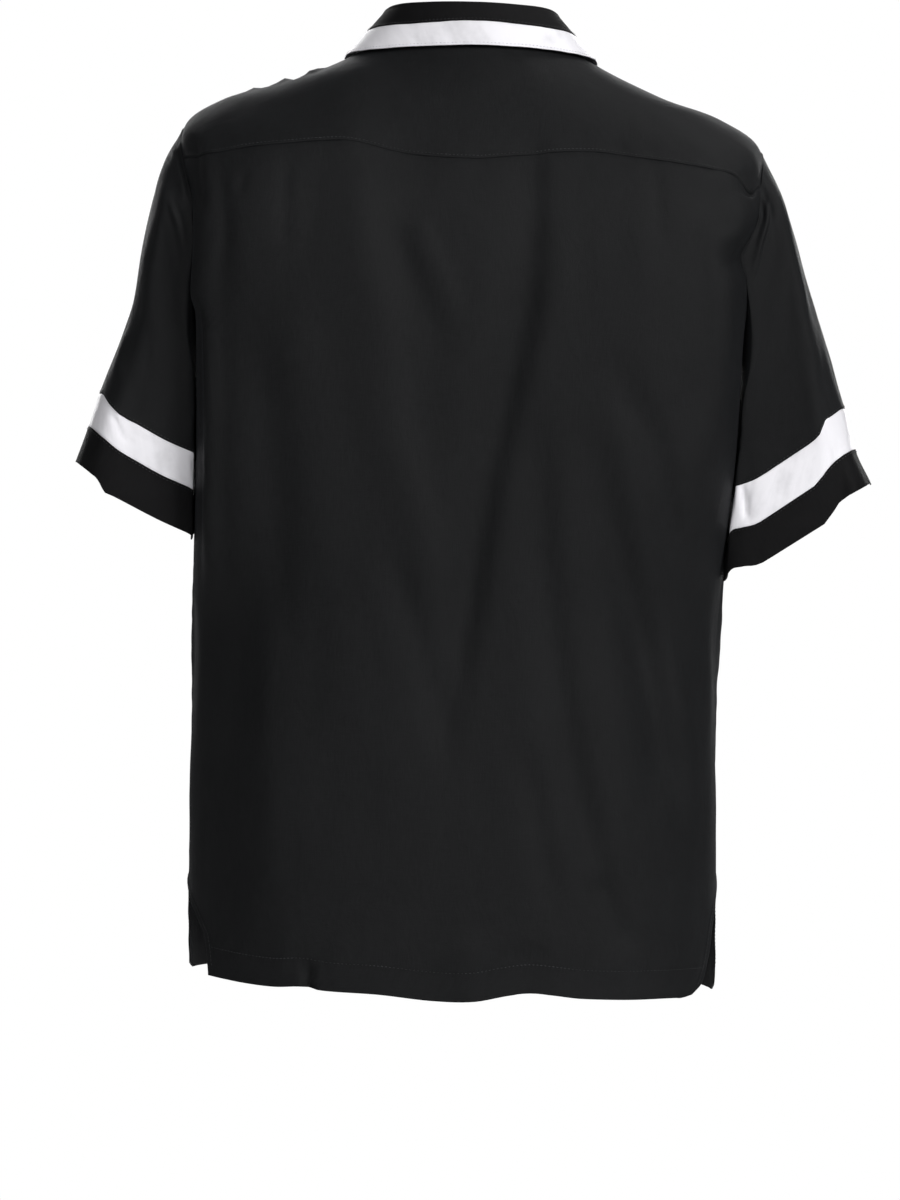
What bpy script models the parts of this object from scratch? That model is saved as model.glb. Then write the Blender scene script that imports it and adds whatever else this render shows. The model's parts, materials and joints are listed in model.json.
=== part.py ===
"""Short-sleeved waiter shirt, buttoned, with the hollow form that it has when worn.

The shirt faces -Y, and +Z is up. The origin is in the middle of the neck opening, 8 mm above the back
neck seam, where the wearer's neck and shoulders hold the shirt. Sizes are in millimetres, and become
metres when the meshes are made.

A point of the body is named by an angle and a level. The angle goes round the body: 0 is the middle of
the back, 90 the wearer's left side, 180 the middle of the front. The level counts the rows of BODY, from
0 at the hem to NECK at the neck seam. Every panel of the body is cut from that one surface.
"""

import math

import bpy
import numpy as np
from mathutils import Vector

MM = 0.001
WALL = 1.6  # thickness of the cloth
GAP = 0.3  # clearance between two pieces at a seam
LAP = WALL + GAP  # from the middle of a piece to the middle of one that lies on it
SLEEVE_LAP = LAP + 0.3  # of the sleeve head over the armhole
SLEEVE_REST = LAP + 1.9  # of a sleeve that rests against the side of the body
SLEEVE_SQUARE = (2.2, 7)  # of a sleeve's section, on the outside and beside the body; 2 is an ellipse
SLEEVE_FRONT_SHARE = 0.1  # of what makes the section squarer, in front
HALF_GAP_DEGREES = math.degrees(GAP / 2 / 100)  # round the body
HALF_GAP_LEVELS = GAP / 2 / 22  # up the body at the yoke's back seam
HALF_GAP_SECTIONS = GAP / 2 / 14  # along a sleeve
FRONT_OUT = 1.2  # each front is moved this far where they lap: the left one out, the right one in

# One row for each girth line of the body. Heights are at the middle of the back, the left and right side
# and the middle of the front. half is half the width, back and front are the depths from the side line,
# which lies at side_y, and shift moves the row to the wearer's left. A squareness of 2 is an ellipse, and
# more is boxier.
BODY_COLUMNS = (
    "back_z", "left_z", "right_z", "front_z", "half", "back", "front", "side_y",
    "back_square", "front_square", "shift",
)
BODY = (
    (-745, -731, -749, -738, 204, 114, 132, 12, 2.5, 2.4, 15),  # 0 hem
    (-645, -645, -645, -645, 204, 112, 134, 12, 2.5, 2.4, 15),  # 1 seat
    (-540, -540, -540, -540, 204, 108, 136, 12, 2.5, 2.4, 14),  # 2 hip
    (-440, -440, -440, -440, 206, 106, 138, 12, 2.5, 2.4, 10.5),  # 3 waist
    (-335, -335, -335, -335, 208, 108, 141, 12, 4.4, 2.4, 4),  # 4 ribs
    (-248, -236, -252, -250, 210, 112, 142, 11, 5.6, 2.4, 1.5),  # 5 armpit
    (-198, -183, -200, -205, 213, 113, 136, 9, 5.8, 2.4, 0),  # 6 shoulder blade
    (-150, -128, -146, -164, 219, 111, 125, 6, 5.2, 2.4, 0),  # 7 upper back
    (-111, -80, -98, -134, 223, 103, 112, 4, 3.4, 2.4, 0),  # 8 shoulder point
    (-80, -57, -73, -116, 195, 93, 99, 2, 2.5, 2.3, 0),  # 9 outer shoulder slope
    (-54, -45, -58, -104, 154, 82, 87, 1, 2.3, 2.2, 0),  # 10 middle of the shoulder slope
    (-31, -30, -36, -93, 109, 70, 77, 0, 2.1, 2.1, 0),  # 11 inner shoulder slope
    (-8, -8, -10, -82, 69, 58, 67, 0, 2.0, 2.0, 0),  # 12 neck seam
)
NECK = len(BODY) - 1
SHOULDER = 8
ARMPIT = 5

# The armhole is an oval on the body surface, from the armpit to the shoulder point.
ARMHOLE_BACK_REACH = 34  # degrees from the side towards the back
ARMHOLE_FRONT_REACH = 31  # degrees from the side towards the front
SHOULDER_SEAM_AT_ARM = 106.5  # angle of the yoke's front seam where it meets the armhole
SHOULDER_SEAM_AT_NECK = 114
YOKE_BACK_AT_NECK = 72  # angle at the neck that is joined to the end of the yoke's back seam

# Height of the yoke's back seam at each angle, from the wearer's right to the left.
YOKE_SEAM = (
    (-70, -137), (-58, -128), (-42, -119), (-30, -111), (-22, -106.5), (-10, -109), (0, -112), (12, -108),
    (24, -99), (40, -102), (50, -106.5), (58, -106.5), (70, -107),
)

# Side vents: below VENT_TOP the panels' side edges draw back and turn into the hem with a round corner.
VENT_TOP = 0.88  # level
VENT_EDGE = {  # level and degrees in from the side: of the back at the left and the right, and of both fronts
    1: ((0, 30.5), (0.05, 30), (0.2, 28.6), (0.37, 26), (0.52, 20), (0.64, 14), (0.76, 7)),
    -1: ((0, 36.5), (0.02, 32.5), (0.09, 27), (0.22, 23), (0.36, 20.5), (0.58, 17), (0.75, 10)),
    0: ((0, 9), (0.05, 4), (0.2, 1.5), (0.4, 0.5), (0.55, 0), (0.66, 0), (0.77, 0)),
}

# The wearer's left front laps over the right one.
FRONT_LAP = 15  # each front runs this far past the middle
FRONT_LAP_FADE = 46  # and is back on the body surface this far from the middle

# Large soft folds. Each runs down one face through three places across the body, at its top, middle and
# end. depth is out of the body, and negative for a trough. The fold has died out at its width.
FOLD_COLUMNS = ("face", "top_z", "end_z", "x_top", "x_middle", "x_end", "width", "depth")
FOLD_FADE = 90  # length over which a fold starts and ends
FOLDS = (
    ("back", -230, -560, 70, 52, 12, 40, 5),
    ("back", -130, -570, -52, -38, 6, 42, -7),
    ("back", -200, -640, -95, -62, -85, 36, 5),
    ("back", -300, -720, -48, -62, -150, 36, -6),
    ("back", -330, -640, -112, -140, -172, 32, -5),
    ("back", -190, -640, 158, 147, 158, 46, -8),
    ("back", -560, -770, 172, 174, 176, 30, -5),
    ("front", -230, -640, 95, 92, 80, 48, -6),
    ("front", -260, -770, -100, -96, -88, 50, -6),
    ("front", -400, -770, 52, 48, 46, 36, 4),
)

# Sleeve sections below the armhole. top is the outermost line of the sleeve and under the innermost, each
# given by its distance out and its height. depth is half the sleeve's size front to back and middle_y its
# place; forward draws the innermost line to the front; sag is how far the back of a section hangs below
# its front.
SLEEVE_COLUMNS = ("top_x", "top_z", "under_x", "under_z", "depth", "middle_y", "forward", "sag")
LEFT_SLEEVE = (
    (241, -112, 213, -256, 77, 3, 4, 0),
    (254, -165, 207, -282, 76, 4, 10, 2),
    (264, -218, 204, -310, 74, 4, 13, 4),
    (289, -283, 204, -334, 73, 3, 15, 6),
    (298, -306, 206, -359, 72, 3, 16, 8),
    (308, -335, 207, -390, 71, 3, 17, 11),
)
RIGHT_SLEEVE = (
    (241, -131, 210, -273, 77, 3, 5, 0),
    (256, -180, 202, -303, 76, 4, 11, 3),
    (270, -228, 197, -333, 74, 4, 14, 7),
    (290, -295, 193, -359, 73, 3, 16, 13),
    (298, -324, 193, -385, 72, 3, 17, 18),
    (311, -351, 191, -412, 71, 3, 18, 23),
)
BAND_SECTION = 4  # the armhole is section 0
CUFF_SECTION = 5
HEM_SECTION = 6

# The collar stands up round the neck, folds over and falls onto the shoulders.
# Stand: (angle, height of its foot, height of its top), both above the neck seam.
STAND = (
    (0, 1.0, 20), (30, 1.1, 20.3), (55, 1.2, 21), (72, 1.4, 19.8), (90, 1.7, 15.3), (130, 2.0, 9),
    (160, 2.8, 8.0), (180, 2.9, 7.5),
)
STAND_TILT = 0.8  # how much higher it is at the left of the back, and lower at the right
STAND_LEAN = 0.15  # how far the stand leans in for its height
FOLD_RADIUS = 1.7  # of the cloth's middle where the collar turns over
COLLAR_END = 178  # angle of the collar's ends
# Edge: (angle at the neck seam, angle of the edge, level of the edge, clearance). The clearance is from
# the middle of the body's cloth to the middle of the collar's.
COLLAR_EDGE = (
    (0, 0, 11.35, 4.8),
    (45, 45, 11.3, 3.8),
    (90, 91, 11.3, 3.3),
    (125, 124, 11.0, 3.7),
    (155, 149, 10.2, 4.3),
    (178, 165.5, 8.2, 4.0),
)
# Angle and width of the white band along the collar's edge
COLLAR_BAND = ((0, 20.3), (30, 21), (60, 24), (90, 24), (130, 22), (180, 22))

# Buttons down the middle of the front
BUTTON_HEIGHTS = (-103, -192, -284, -376, -468, -560)
BUTTON_RADIUS = 5.6
BUTTON_THICKNESS = 2.4
BUTTON_ROUNDING = 0.6
BUTTON_SIDES = 20
BUTTON_SEAT = 0.45  # clearance over the front, which curves under the button

# Steps of the meshes
BACK_COLUMNS = 18
FRONT_COLUMNS = 14
SHOULDER_COLUMNS = 5  # of the front's columns, those that end at the shoulder seam
SIDE_ROWS = 8
ARM_BACK, ARM_YOKE, ARM_FRONT = 8, 5, 11  # of the armhole, along the back, the yoke and the front
YOKE_ROWS = 5
COLLAR_STEPS = 20  # on each side of the middle

BLACK = (0.0125, 0.0130, 0.0145)
DEEP_BLACK = (0.0045, 0.0045, 0.0050)
WHITE = (0.72, 0.71, 0.75)


def smooth(t):
    t = np.clip(t, 0, 1)
    return t * t * (3 - 2 * t)


def unit(v):
    return v / np.maximum(np.linalg.norm(v, axis=-1, keepdims=True), 1e-9)


def curve_through(rows, at):
    """Values of a smooth curve that passes through the rows, which are one step apart."""
    rows = np.asarray(rows, float)
    at = np.asarray(at, float)
    i = np.clip(np.floor(at).astype(int), 0, len(rows) - 2)
    f = (at - i)[(...,) + (None,) * (rows.ndim - 1)]
    slope = np.gradient(rows, axis=0)
    start = rows[i] * (1 + 2 * f) * (1 - f) ** 2 + slope[i] * f * (1 - f) ** 2
    return start + rows[i + 1] * f * f * (3 - 2 * f) - slope[i + 1] * f * f * (1 - f)


def read_table(table, at):
    """Columns of a table, after its first, at these values of the first column."""
    table = np.asarray(table, float)
    return curve_through(table[:, 1:], np.interp(at, table[:, 0], np.arange(len(table))))


def plain_body(angle, level):
    """Points of the body surface without its folds."""
    angle, level = np.broadcast_arrays(np.asarray(angle, float), np.asarray(level, float))
    row = dict(zip(BODY_COLUMNS, np.moveaxis(curve_through(BODY, level), -1, 0)))
    s, c = np.sin(np.radians(angle)), np.cos(np.radians(angle))
    square = np.where(c > 0, row["back_square"], row["front_square"])
    reach = (np.abs(s) ** square + np.abs(c) ** square) ** (-1 / square)
    side_z = np.where(s > 0, row["left_z"], row["right_z"])
    middle_z = np.where(c > 0, row["back_z"], row["front_z"])
    x = row["half"] * s * reach + row["shift"]
    y = np.where(c > 0, row["back"], row["front"]) * c * reach + row["side_y"]
    return np.stack([x, y, side_z * s * s + middle_z * c * c], -1)


def body_normal(angle, level):
    """Outward unit vectors of the plain body surface."""
    along = plain_body(angle + 0.5, level) - plain_body(angle - 0.5, level)
    low, high = np.maximum(level - 0.05, 0), np.minimum(level + 0.05, NECK)
    return unit(np.cross(plain_body(angle, high) - plain_body(angle, low), along))


def fold_height(points, facing_back):
    """How far the folds move the cloth out at these points."""
    x, z = points[..., 0], points[..., 2]
    moved = np.zeros(x.shape)
    for row in FOLDS:
        fold = dict(zip(FOLD_COLUMNS, row))
        below, above = fold["top_z"] - z, z - fold["end_z"]
        t = np.clip(below / (fold["top_z"] - fold["end_z"]), 0, 1)
        middle = fold["x_top"] * (1 - t) * (1 - 2 * t) + fold["x_middle"] * 4 * t * (1 - t)
        middle += fold["x_end"] * t * (2 * t - 1)
        across = np.clip(1 - ((x - middle) / fold["width"]) ** 2, 0, 1) ** 2
        along = smooth(below / FOLD_FADE) * smooth(above / FOLD_FADE)
        facing = facing_back if fold["face"] == "back" else -facing_back
        moved += fold["depth"] * across * along * smooth(facing / 0.5)
    return moved


def body(angle, level, out=0.0):
    """Points of the middle of the body's cloth, moved out of it by out."""
    points, normal = plain_body(angle, level), body_normal(angle, level)
    return points + normal * (fold_height(points, normal[..., 1]) + out)[..., None]


def level_at(angle, z):
    """The level at which the body has this height, at each angle."""
    low, high = np.zeros(np.shape(angle)), np.full(np.shape(angle), float(NECK))
    for _ in range(40):
        middle = (low + high) / 2
        under = plain_body(angle, middle)[..., 2] < z
        low, high = np.where(under, middle, low), np.where(under, high, middle)
    return (low + high) / 2


def armhole(turn):
    """(angle, level) on the left armhole. Turn 0 is the armpit, 90 the back, 180 the shoulder."""
    turn = np.radians(np.asarray(turn, float))
    reach = np.where(np.sin(turn) > 0, ARMHOLE_BACK_REACH, ARMHOLE_FRONT_REACH)
    middle, half = (ARMPIT + SHOULDER) / 2, (SHOULDER - ARMPIT) / 2
    return np.stack([90 - reach * np.sin(turn), middle - half * np.cos(turn)], -1)


def yoke_turn(side):
    """Turn of the armhole where the yoke's back seam meets it; side is 1 for the left, -1 for the right."""
    low, high = 90.0, 178.0
    for _ in range(40):
        turn = (low + high) / 2
        angle, level = armhole(turn)
        above = plain_body(side * angle, level)[2] > read_table(YOKE_SEAM, side * angle)[0]
        low, high = (low, turn) if above else (turn, high)
    return turn


def armhole_turns(side):
    """Turns of the armhole at which the back, the yoke and the front have their points."""
    yoke = yoke_turn(side)
    front = 180 + math.degrees(math.asin((SHOULDER_SEAM_AT_ARM - 90) / ARMHOLE_FRONT_REACH))
    return (
        np.linspace(0, yoke, ARM_BACK + 1),
        np.linspace(yoke, front, ARM_YOKE + 1),
        np.linspace(front, 360, ARM_FRONT + 1),
    )


def line(start, end, steps):
    return np.linspace(start, end, steps + 1)


def patch(foot, head, start, end):
    """A grid between four edge lines. foot and head run across; start and end run up, and set the rows."""
    s = np.linspace(0, 1, len(foot))[None, :, None]
    level = (start[:, 1] + end[:, 1]) / 2
    t = ((level - level[0]) / (level[-1] - level[0]))[:, None, None]
    across = foot[None] * (1 - t) + head[None] * t
    up = start[:, None] * (1 - s) + end[:, None] * s
    corners = (foot[0] * (1 - s) + foot[-1] * s) * (1 - t) + (head[0] * (1 - s) + head[-1] * s) * t
    return across + up - corners


def side_edges(side, towards_front):
    """Two (angle, level) edges of a panel at one side: the vent and side seam, then the armhole."""
    way = 1 if towards_front else -1
    gap = HALF_GAP_DEGREES
    edge = VENT_EDGE[0 if towards_front else side]
    vent = [(90 + way * (inward + gap), level) for level, inward in edge]
    seam = [(90 + way * gap, level) for level in line(VENT_TOP, ARMPIT, SIDE_ROWS)]
    back_turns, _, front_turns = armhole_turns(side)
    arm = armhole(front_turns[::-1] if towards_front else back_turns)
    arm[0] = seam[-1]
    return np.array(vent + seam) * (side, 1), arm * (side, 1)


def panel(lower, upper, head):
    """A grid of (angle, level) between both edges of the lower part, both of the upper part and the head."""
    columns = len(head) - 1
    foot = line(lower[0][0], lower[1][0], columns)
    chest = line(lower[0][-1], lower[1][-1], columns)
    return np.concatenate([patch(foot, chest, *lower)[:-1], patch(chest, head, *upper)])


def back_panel():
    right, right_arm = side_edges(-1, False)
    left, left_arm = side_edges(1, False)
    angles = np.linspace(right_arm[-1, 0], left_arm[-1, 0], BACK_COLUMNS + 1)
    gap = HALF_GAP_LEVELS
    head = np.stack([angles, level_at(angles, read_table(YOKE_SEAM, angles)[..., 0]) - gap], -1)
    right_arm[-1], left_arm[-1] = head[0], head[-1]
    grid = panel((right, left), (right_arm, left_arm), head)
    return body(grid[..., 0], grid[..., 1])


def yoke_panel():
    left, right = armhole(armhole_turns(1)[1]), armhole(armhole_turns(-1)[1])[::-1] * (-1, 1)
    seam_gap = HALF_GAP_DEGREES
    left[-1, 0] -= seam_gap
    right[0, 0] += seam_gap
    angles = np.linspace(right[-1, 0], left[0, 0], BACK_COLUMNS + 1)
    gap = HALF_GAP_LEVELS
    seam = np.stack([angles, level_at(angles, read_table(YOKE_SEAM, angles)[..., 0]) + gap], -1)
    outer = np.concatenate([right[:-1], seam, left[1:]])
    end = SHOULDER_SEAM_AT_NECK - 2 * seam_gap
    corners = [0, ARM_YOKE, ARM_YOKE + BACK_COLUMNS, len(outer) - 1]
    neck = np.interp(np.arange(len(outer)), corners, [-end, -YOKE_BACK_AT_NECK, YOKE_BACK_AT_NECK, end])
    inner = np.stack([neck, np.full(len(outer), float(NECK))], -1)
    grid = line(outer, inner, YOKE_ROWS)
    return body(grid[..., 0], grid[..., 1])


def front_edge(side, levels):
    """(angle, level) up a front's free edge, which lies FRONT_LAP past the middle."""
    row = dict(zip(BODY_COLUMNS, curve_through(BODY, levels).T))
    past_middle = np.degrees(np.arcsin((FRONT_LAP + side * row["shift"]) / row["half"]))
    return np.stack([side * (180 + past_middle), levels], -1)


def front_panel(side):
    """side is 1 for the wearer's left front, which lies on top, and -1 for the right front."""
    outer, arm = side_edges(side, True)
    gap = HALF_GAP_DEGREES
    arm[-1, 0] += side * gap
    inner = front_edge(side, outer[:, 1])
    inner_above = front_edge(side, np.linspace(ARMPIT, NECK, len(arm)))
    neck_corner = np.array([side * (SHOULDER_SEAM_AT_NECK + 2 * gap), NECK])
    head = np.concatenate([
        line(arm[-1], neck_corner, SHOULDER_COLUMNS)[:-1],
        line(neck_corner, inner_above[-1], FRONT_COLUMNS - SHOULDER_COLUMNS),
    ])
    grid = panel((outer, inner), (arm, inner_above), head)
    points = body(grid[..., 0], grid[..., 1])
    from_middle = side * points[..., 0]
    lap = side * FRONT_OUT * smooth((FRONT_LAP_FADE - from_middle) / (FRONT_LAP_FADE - FRONT_LAP))
    return points + body_normal(grid[..., 0], grid[..., 1]) * lap[..., None]


def side_wall(side, y, z):
    """Distance out to the body's cloth at its left or right side, at these depths and heights."""
    level = level_at(np.full(np.shape(z), side * 90.0), z)
    row = dict(zip(BODY_COLUMNS, np.moveaxis(curve_through(BODY, level), -1, 0)))
    in_front = y < row["side_y"]
    square = np.where(in_front, row["front_square"], row["back_square"])
    share = np.clip(np.abs(y - row["side_y"]) / np.where(in_front, row["front"], row["back"]), 0, 1)
    return row["half"] * (1 - share**square) ** (1 / square) + side * row["shift"]


def sleeve_rings(side):
    """One ring of points for each section of a sleeve, the armhole first."""
    turns = np.concatenate([part[:-1] for part in armhole_turns(side)])
    angle, level = armhole(turns).T
    rings = [body(side * angle, level, SLEEVE_LAP)]
    s, c = np.sin(np.radians(turns)), np.cos(np.radians(turns))
    squarer = (1 + c) / 2 * np.where(s > 0, 1, SLEEVE_FRONT_SHARE)
    square = SLEEVE_SQUARE[0] + (SLEEVE_SQUARE[1] - SLEEVE_SQUARE[0]) * squarer
    around = np.sign(s) * np.abs(s) ** (2 / square)
    to_top = (1 - np.sign(c) * np.abs(c) ** (2 / square)) / 2
    for row in LEFT_SLEEVE if side > 0 else RIGHT_SLEEVE:
        row = dict(zip(SLEEVE_COLUMNS, row))
        x = row["under_x"] + (row["top_x"] - row["under_x"]) * to_top
        y = row["middle_y"] + row["depth"] * around - row["forward"] * (1 - to_top)
        z = row["under_z"] + (row["top_z"] - row["under_z"]) * to_top - row["sag"] * around
        x = np.maximum(x, side_wall(side, y, z) + SLEEVE_REST)
        rings.append(np.stack([side * x, y, z], -1))
    return np.array(rings)


def sleeve_part(side, first, last, rows):
    """Rings of a sleeve from one section to another, drawn back by half a gap at a seam in the sleeve."""
    gap = HALF_GAP_SECTIONS
    low = first + (gap if first > 0 else 0)
    high = last - (gap if last < HEM_SECTION else 0)
    return curve_through(sleeve_rings(side), np.linspace(low, high, rows + 1))


def collar_profile(angle):
    """Points from the collar's foot over its fold, and the fall as a function from 0 to 1 at its edge."""
    side = 1 if angle >= 0 else -1
    foot = body(angle, float(NECK))
    radial = body_normal(angle, float(NECK)) * (1, 1, 0)
    radial = unit(radial)
    up = np.array([0, 0, 1.0])
    foot_height, height = read_table(STAND, abs(angle))
    height += STAND_TILT * math.sin(math.radians(2 * angle)) if abs(angle) < 90 else 0
    lean = unit(up - STAND_LEAN * radial)
    start, top = foot + lean * foot_height, foot + lean * height
    centre = top + radial * FOLD_RADIUS
    turns = np.radians((45, 90, 135))
    arc = [centre + FOLD_RADIUS * (math.sin(turn) * up - math.cos(turn) * radial) for turn in turns]
    stand = [start, (start + top) / 2, top] + arc
    over = top + radial * 2 * FOLD_RADIUS - foot
    edge_angle, edge_level, clearance = read_table(COLLAR_EDGE, abs(angle))

    def fall(t):
        at_angle = angle + (side * edge_angle - angle) * t
        at_level = NECK + (edge_level - NECK) * t
        normal = body_normal(at_angle, at_level)
        return body(at_angle, at_level) + over * (1 - t) + normal * clearance * t

    return stand, fall


def collar_grids():
    """The collar from its foot to the white band, and the band."""
    angles = line(-COLLAR_END, COLLAR_END, 2 * COLLAR_STEPS)
    collar, band = [], []
    for angle in angles:
        stand, fall = collar_profile(angle)
        samples = np.array([fall(t) for t in line(0.0, 1.0, 40)])
        from_edge = np.append(np.cumsum(np.linalg.norm(np.diff(samples[::-1], axis=0), axis=1))[::-1], 0)
        places = np.linspace(0, 1, 41)

        def place_at(distance):
            return np.interp(distance, from_edge[::-1], places[::-1])

        width = read_table(COLLAR_BAND, abs(angle))[0]
        inner, outer = place_at(width + GAP), place_at(width)
        collar.append(stand + [fall(t) for t in line(0.0, inner, 3)])
        band.append([fall(t) for t in line(outer, 1.0, 3)])
    return np.array(collar), np.array(band)


def material(name, colour, roughness, sheen=0.0):
    made = bpy.data.materials.new(name)
    made.use_nodes = True
    shader = made.node_tree.nodes["Principled BSDF"]
    shader.inputs["Base Color"].default_value = (*colour, 1)
    shader.inputs["Roughness"].default_value = roughness
    shader.inputs["Metallic"].default_value = 0
    shader.inputs["Sheen Weight"].default_value = sheen
    return made


def cloth(name, grid, look, collection, closed=False):
    """A piece of cloth whose middle passes through a grid of points; a closed grid goes round a tube."""
    rows, columns = grid.shape[:2]
    index = np.arange(rows * columns).reshape(rows, columns)
    if closed:
        index = np.concatenate([index, index[:, :1]], axis=1)
    faces = np.stack([index[:-1, :-1], index[1:, :-1], index[1:, 1:], index[:-1, 1:]], -1).reshape(-1, 4)
    mesh = bpy.data.meshes.new(name)
    mesh.from_pydata((grid.reshape(-1, 3) * MM).tolist(), [], faces.tolist())
    mesh.materials.append(look)
    mesh.shade_smooth()
    piece = bpy.data.objects.new(name, mesh)
    collection.objects.link(piece)
    wall = piece.modifiers.new("Cloth", "SOLIDIFY")
    wall.thickness = WALL * MM
    wall.offset = 0
    return piece


def button(name, z, look, collection):
    level = level_at(np.array(180.0), z)
    shift = curve_through(BODY, level)[BODY_COLUMNS.index("shift")]
    half = curve_through(BODY, level)[BODY_COLUMNS.index("half")]
    angle = 180 + math.degrees(math.asin(shift / half))
    normal = body_normal(angle, level)
    centre = body(angle, level, FRONT_OUT + WALL / 2 + BUTTON_SEAT + BUTTON_THICKNESS / 2) * MM
    bpy.ops.mesh.primitive_cylinder_add(
        vertices=BUTTON_SIDES, radius=BUTTON_RADIUS * MM, depth=BUTTON_THICKNESS * MM
    )
    piece = bpy.context.object
    piece.name = name
    piece.data.name = name
    piece.location = centre
    piece.rotation_euler = Vector(normal).to_track_quat("Z", "Y").to_euler()
    piece.data.materials.append(look)
    rounding = piece.modifiers.new("Rounding", "BEVEL")
    rounding.width = BUTTON_ROUNDING * MM
    rounding.segments = 2
    rounding.limit_method = "ANGLE"
    piece.data.shade_smooth()
    for old in piece.users_collection:
        old.objects.unlink(piece)
    collection.objects.link(piece)
    return piece


def build():
    for old in list(bpy.data.objects):
        bpy.data.objects.remove(old, do_unlink=True)
    shirt = bpy.data.collections.new("waiter_shirt")
    bpy.context.scene.collection.children.link(shirt)
    black = material("Black cloth", BLACK, 0.62, 0.3)
    deep = material("Deep black trim", DEEP_BLACK, 0.7)
    white = material("White satin", WHITE, 0.38, 0.2)
    plastic = material("Black button", DEEP_BLACK, 0.35)

    cloth("back", back_panel(), black, shirt)
    cloth("yoke", yoke_panel(), black, shirt)
    for side, name in ((1, "left"), (-1, "right")):
        cloth(f"front_{name}", front_panel(side), black, shirt)
        cloth(f"sleeve_{name}", sleeve_part(side, 0, BAND_SECTION, 9), black, shirt, closed=True)
        ring = sleeve_part(side, BAND_SECTION, CUFF_SECTION, 2)
        cloth(f"sleeve_band_{name}", ring, white, shirt, closed=True)
        ring = sleeve_part(side, CUFF_SECTION, HEM_SECTION, 2)
        cloth(f"sleeve_cuff_{name}", ring, deep, shirt, closed=True)
    collar, band = collar_grids()
    cloth("collar", collar, deep, shirt)
    cloth("collar_band", band, white, shirt)
    for number, z in enumerate(BUTTON_HEIGHTS, 1):
        button(f"button_{number}", z, plastic, shirt)


build()
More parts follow.
